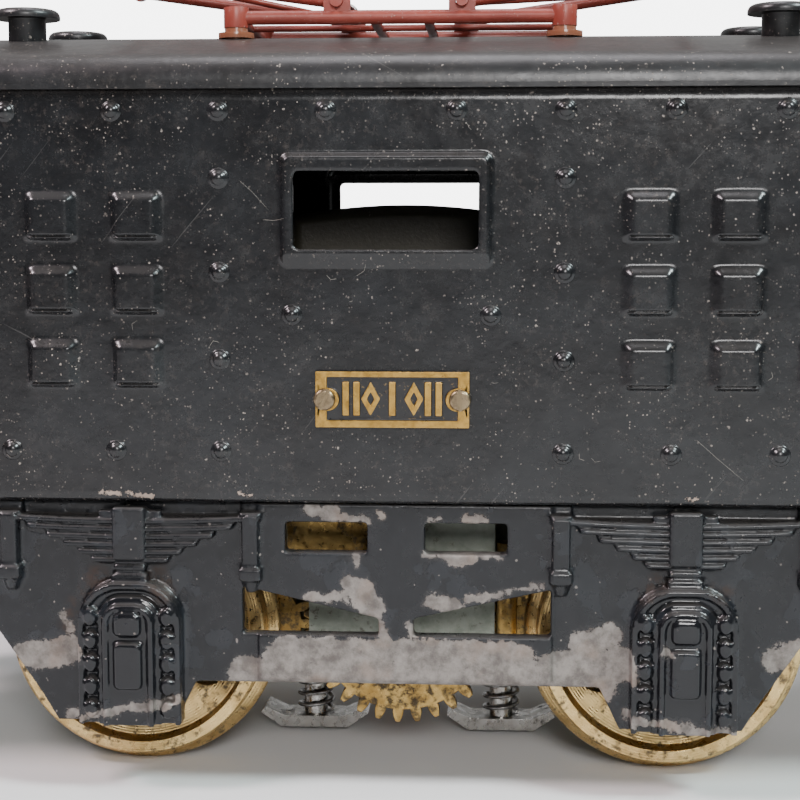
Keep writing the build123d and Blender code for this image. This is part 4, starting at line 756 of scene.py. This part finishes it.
near_bare = [
    (-13.5, 16.4, 14.0, 16.4, 3.3), (-18.5, 14.6, 24.5, 14.0, 2.6), (-10.5, 35.6, -7.6, 35.4, 0.9),
    (-7.6, 34.9, -3.6, 34.4, 0.5), (-5.6, 31.4, -4.6, 31.0, 0.7), (-4.9, 30.4, -5.0, 28.8, 0.45),
    (-5.6, 26.6, -4.2, 26.3, 1.3), (-4.0, 24.6, -3.0, 23.4, 1.6), (-6.4, 25.0, -11.0, 24.7, 0.5),
    (-2.2, 22.6, -1.6, 20.0, 0.8), (4.1, 34.7, 5.3, 34.6, 0.45), (8.2, 34.8, 11.0, 34.7, 0.5),
    (3.6, 30.2, 12.4, 30.3, 0.45), (6.4, 29.6, 9.4, 29.5, 0.55), (4.4, 24.6, 7.6, 23.9, 0.9),
    (8.6, 24.7, 12.8, 25.4, 0.5), (13.6, 25.6, 17.8, 26.4, 0.25), (22.6, 19.2, 26.2, 20.4, 1.6),
    (19.6, 15.6, 27.0, 16.6, 2.6), (1.8, 21.4, 2.2, 20.2, 0.5), (32.4, 19.4, 33.2, 18.8, 0.5),
    (46.5, 17.6, 52.0, 19.6, 1.8), (-40.6, 17.6, -46.5, 16.4, 1.9), (-40.8, 20.2, -41.5, 22.0, 0.5),
    (52.5, 27.5, 57.0, 30.0, 0.7), (-55.0, 28.0, -60.0, 31.0, 0.9), (60.5, 33.0, 62.5, 35.5, 0.6),
    (-2.3, 35.2, -2.1, 35.0, 0.35), (-27.0, 12.0, -41.0, 9.4, 0.6), (28.5, 10.5, 41.0, 9.2, 0.6),
]
near_stain = [
    (-38.5, 25.6, -37.0, 27.6, 1.2), (-28.6, 25.2, -29.6, 27.6, 1.2), (30.4, 25.6, 32.0, 27.4, 0.9),
    (38.8, 26.6, 40.2, 26.0, 0.8), (-41.5, 20.8, -40.2, 23.4, 0.8),
]
hem_bare = [
    (-36.2, 37.7, -33.6, 37.6, 0.30), (-33.0, 37.6, -29.6, 37.5, 0.22), (-19.0, 37.8, -17.6, 37.7, 0.30),
    (-15.8, 37.6, -15.0, 37.5, 0.2), (34.8, 37.7, 36.2, 37.6, 0.25), (52.0, 37.6, 57.0, 37.5, 0.25),
    (-69.0, 37.7, -62.0, 37.6, 0.3), (-7.0, 43.6, -6.6, 43.5, 0.14),
]
axle_boxes = [-axle_x + 1.15, axle_x + 1.15]


def with_leaf_ridges(local):
    """The near casting's points, with each spring leaf a rounded ridge between dark gaps."""
    x, y, z = local.T
    out = y.copy()
    face = (y < -27.5) & (y > -28.75)
    for centre in spring_x:
        dx = x - centre
        arc = leaf_rise * (dx / spring_leaves[0]) ** 2
        for i, half in enumerate(spring_leaves):
            t = (z - (leaf_top - leaf_pitch * i - leaf_t / 2 + arc)) / (leaf_pitch / 2)
            share = np.clip((half - np.abs(dx)) / 0.6, 0, 1) * (face & (np.abs(t) <= 1))
            out += share * (-28.6 + 0.56 * t**2 - y)
    return np.stack([x, out, z], -1)


def casting(name, side):
    """One side frame: the CAD casting with softened edges, carrying its paint loss."""
    source = nodes["side_frames"]
    mesh = source.data.copy()
    copy = bpy.data.objects.new(name, mesh)
    bpy.context.scene.collection.objects.link(copy)
    cells = copy.modifiers.new("cells", "REMESH")
    cells.mode, cells.voxel_size, cells.use_smooth_shade = "VOXEL", 0.24 * MM, True
    ease = copy.modifiers.new("ease", "SMOOTH")
    ease.factor, ease.iterations = 0.5, 3
    graph = bpy.context.evaluated_depsgraph_get()
    soft = bpy.data.meshes.new_from_object(copy.evaluated_get(graph))
    bpy.data.objects.remove(copy)
    points = np.zeros(len(soft.vertices) * 3)
    soft.vertices.foreach_get("co", points)
    points = points.reshape(-1, 3)
    wanted = points[:, 1] * side > 0
    corners = np.zeros(len(soft.polygons) * 4, int)
    soft.polygons.foreach_get("vertices", corners)
    corners = corners.reshape(-1, 4)
    corners = corners[wanted[corners].all(1)]
    number = np.cumsum(wanted) - 1
    turned = np.array([-side, -side, 1.0])  # the far casting is the near one turned half round
    local = with_leaf_ridges(points[wanted] / MM * turned)
    faces = number[corners].tolist()
    made = piece(name, local * turned, faces, "casting_paint", "chassis", ["side_frames"])
    field(made, "bare", blob_field(local, near_bare, 0.6, 0.0 if side < 0 else 5.0))
    field(made, "mapped", np.ones(len(local)))
    stain = blob_field(local, near_stain, 0.6, 3.0)
    field(made, "stain", np.clip(stain * 0.8 + 0.4, 0, 1))
    box = np.min([np.abs(local[:, 0] - x) for x in axle_boxes], 0)
    field(made, "gloss", np.clip((7.5 - box) / 1.5, 0, 1) * np.clip((28.5 - local[:, 2]) / 2, 0, 1))
    return made


# Build: body --------------------------------------------------------------------------------------
layout = side_panel_layout()
for name, side in (("near", -1), ("far", 1)):
    bend = side_bend(side)
    low = body_bottom + hem_r - hem_r * math.pi / 2 - hem_lip
    made = pressed_sheet(
        f"pressed_side_{name}", layout, low, body_top, body_bottom + hem_r, bend,
        replaced=[f"side_panel_{name}"],
    )
    field(made, "bare", blob_field(vertex_points(made), hem_bare, 0.3, side * 2.0))
    rivets(f"side_rivets_{name}", layout.rivets, bend)

lint()

ends = Panel(half_width - corner_r)
for y, w in ((-16, 11.0), (0, 9.0), (16, 11.0)):
    ends.window(y, window_z, w, window_h, 1.3, 1.3, 0.6, 0.8)
ends.rivets = [(y, z) for y in (-22.5, -12, 12, 22.5) for z in (43.0, 62.0)]
for name, end in (("front", 1), ("rear", -1)):
    made = pressed_sheet(
        f"pressed_end_{name}", ends, body_bottom, body_top, body_bottom, end_bend(end),
        replaced=["end_panels"],
    )
    field(made, "bare", np.full(len(made.data.vertices), -3.0))
    rivets(f"end_rivets_{name}", ends.rivets, end_bend(end))

for name, side in (("near", -1), ("far", 1)):
    casting(f"side_frame_{name}", side)


# Finish for the CAD nodes -------------------------------------------------------------------------
def finish(node, bevel_mm=0.12):
    """A CAD node's material, with small rounded edges."""
    made = nodes[node]
    made.data.materials.clear()
    made.data.materials.append(materials[slot_of[node]])
    weld = made.modifiers.new("weld", "WELD")
    weld.merge_threshold = 0.002 * MM
    edge = made.modifiers.new("edge", "BEVEL")
    edge.width, edge.segments, edge.limit_method = bevel_mm * MM, 2, "ANGLE"
    edge.angle_limit = math.radians(35)
    edge.use_clamp_overlap = True
    edge.harden_normals = False


replaced = {"side_panel_near", "side_panel_far", "end_panels", "side_frames"}
for node in sorted(nodes):
    if node not in replaced:
        finish(node)


# Stage, light and camera --------------------------------------------------------------------------
def floor():
    size = 3.0
    mesh = bpy.data.meshes.new("floor")
    corners = [(-size, -size, 0), (size, -size, 0), (size, size, 0), (-size, size, 0)]
    mesh.from_pydata(corners, [], [(0, 1, 2, 3)])
    made = bpy.data.objects.new("floor", mesh)
    s = Shader("pale_floor")
    s.set(Base_Color=s.mix(s.noise(0.02, 3), (0.72, 0.72, 0.715), (0.76, 0.76, 0.755)), Roughness=0.75)
    mesh.materials.append(s.material)
    bpy.context.scene.collection.objects.link(made)


def lamp(name, place, size, power, colour):
    light = bpy.data.lights.new(name, "AREA")
    light.shape, light.size, light.energy, light.color = "DISK", size, power, colour
    made = bpy.data.objects.new(name, light)
    made.location = place
    made.rotation_euler = (Vector((0, 0, 0.05)) - Vector(place)).to_track_quat("-Z", "Y").to_euler()
    bpy.context.scene.collection.objects.link(made)


def surroundings():
    """Soft studio light: a bright backdrop and ceiling, and a dimmer room in front."""
    world = bpy.data.worlds.new("studio")
    world.use_nodes = True
    tree = world.node_tree
    ground = tree.nodes["Background"]
    place = tree.nodes.new("ShaderNodeTexCoord")
    split = tree.nodes.new("ShaderNodeSeparateXYZ")
    tree.links.new(place.outputs["Generated"], split.inputs[0])
    across = tree.nodes.new("ShaderNodeMapRange")
    across.interpolation_type = "SMOOTHSTEP"
    for key, number in (("From Min", -0.3), ("From Max", 0.6), ("To Min", 0.05), ("To Max", 0.5)):
        across.inputs[key].default_value = number
    tree.links.new(split.outputs["Y"], across.inputs["Value"])
    rise = tree.nodes.new("ShaderNodeMapRange")
    rise.interpolation_type = "SMOOTHSTEP"
    for key, number in (("From Min", 0.30), ("From Max", 0.95), ("To Min", 0.0), ("To Max", 0.25)):
        rise.inputs[key].default_value = number
    tree.links.new(split.outputs["Z"], rise.inputs["Value"])
    total = tree.nodes.new("ShaderNodeMath")
    total.operation = "MAXIMUM"
    tree.links.new(across.outputs["Result"], total.inputs[0])
    tree.links.new(rise.outputs["Result"], total.inputs[1])
    seen = tree.nodes.new("ShaderNodeLightPath")
    plain = tree.nodes.new("ShaderNodeMix")
    tree.links.new(seen.outputs["Is Camera Ray"], plain.inputs["Factor"])
    tree.links.new(total.outputs[0], plain.inputs["A"])
    plain.inputs["B"].default_value = 6.0
    tree.links.new(plain.outputs["Result"], ground.inputs["Strength"])
    ground.inputs["Color"].default_value = (1.0, 1.0, 1.0, 1.0)
    bpy.context.scene.world = world


def camera():
    data = bpy.data.cameras.new("camera")
    data.lens, data.sensor_width, data.clip_start = 74.7, 36.0, 0.01
    made = bpy.data.objects.new("camera", data)
    made.location = (0.01274, -0.2275, 0.0703)
    made.rotation_euler = Vector((-0.0607, 0.9927, -0.1045)).to_track_quat("-Z", "Y").to_euler()
    bpy.context.scene.collection.objects.link(made)
    bpy.context.scene.camera = made


floor()
surroundings()
lamp("left_lamp", (-0.40, -0.20, 0.50), 0.15, 4.2, (1.0, 0.84, 0.88))
lamp("right_lamp", (0.40, -0.20, 0.50), 0.15, 5.0, (0.84, 0.99, 1.0))
lamp("top_lamp", (0.0, 0.02, 0.72), 0.36, 2.2, (0.97, 0.95, 1.0))
lamp("front_lamp", (0.12, -0.75, 0.38), 0.25, 4.6, (1.0, 0.98, 0.97))
camera()
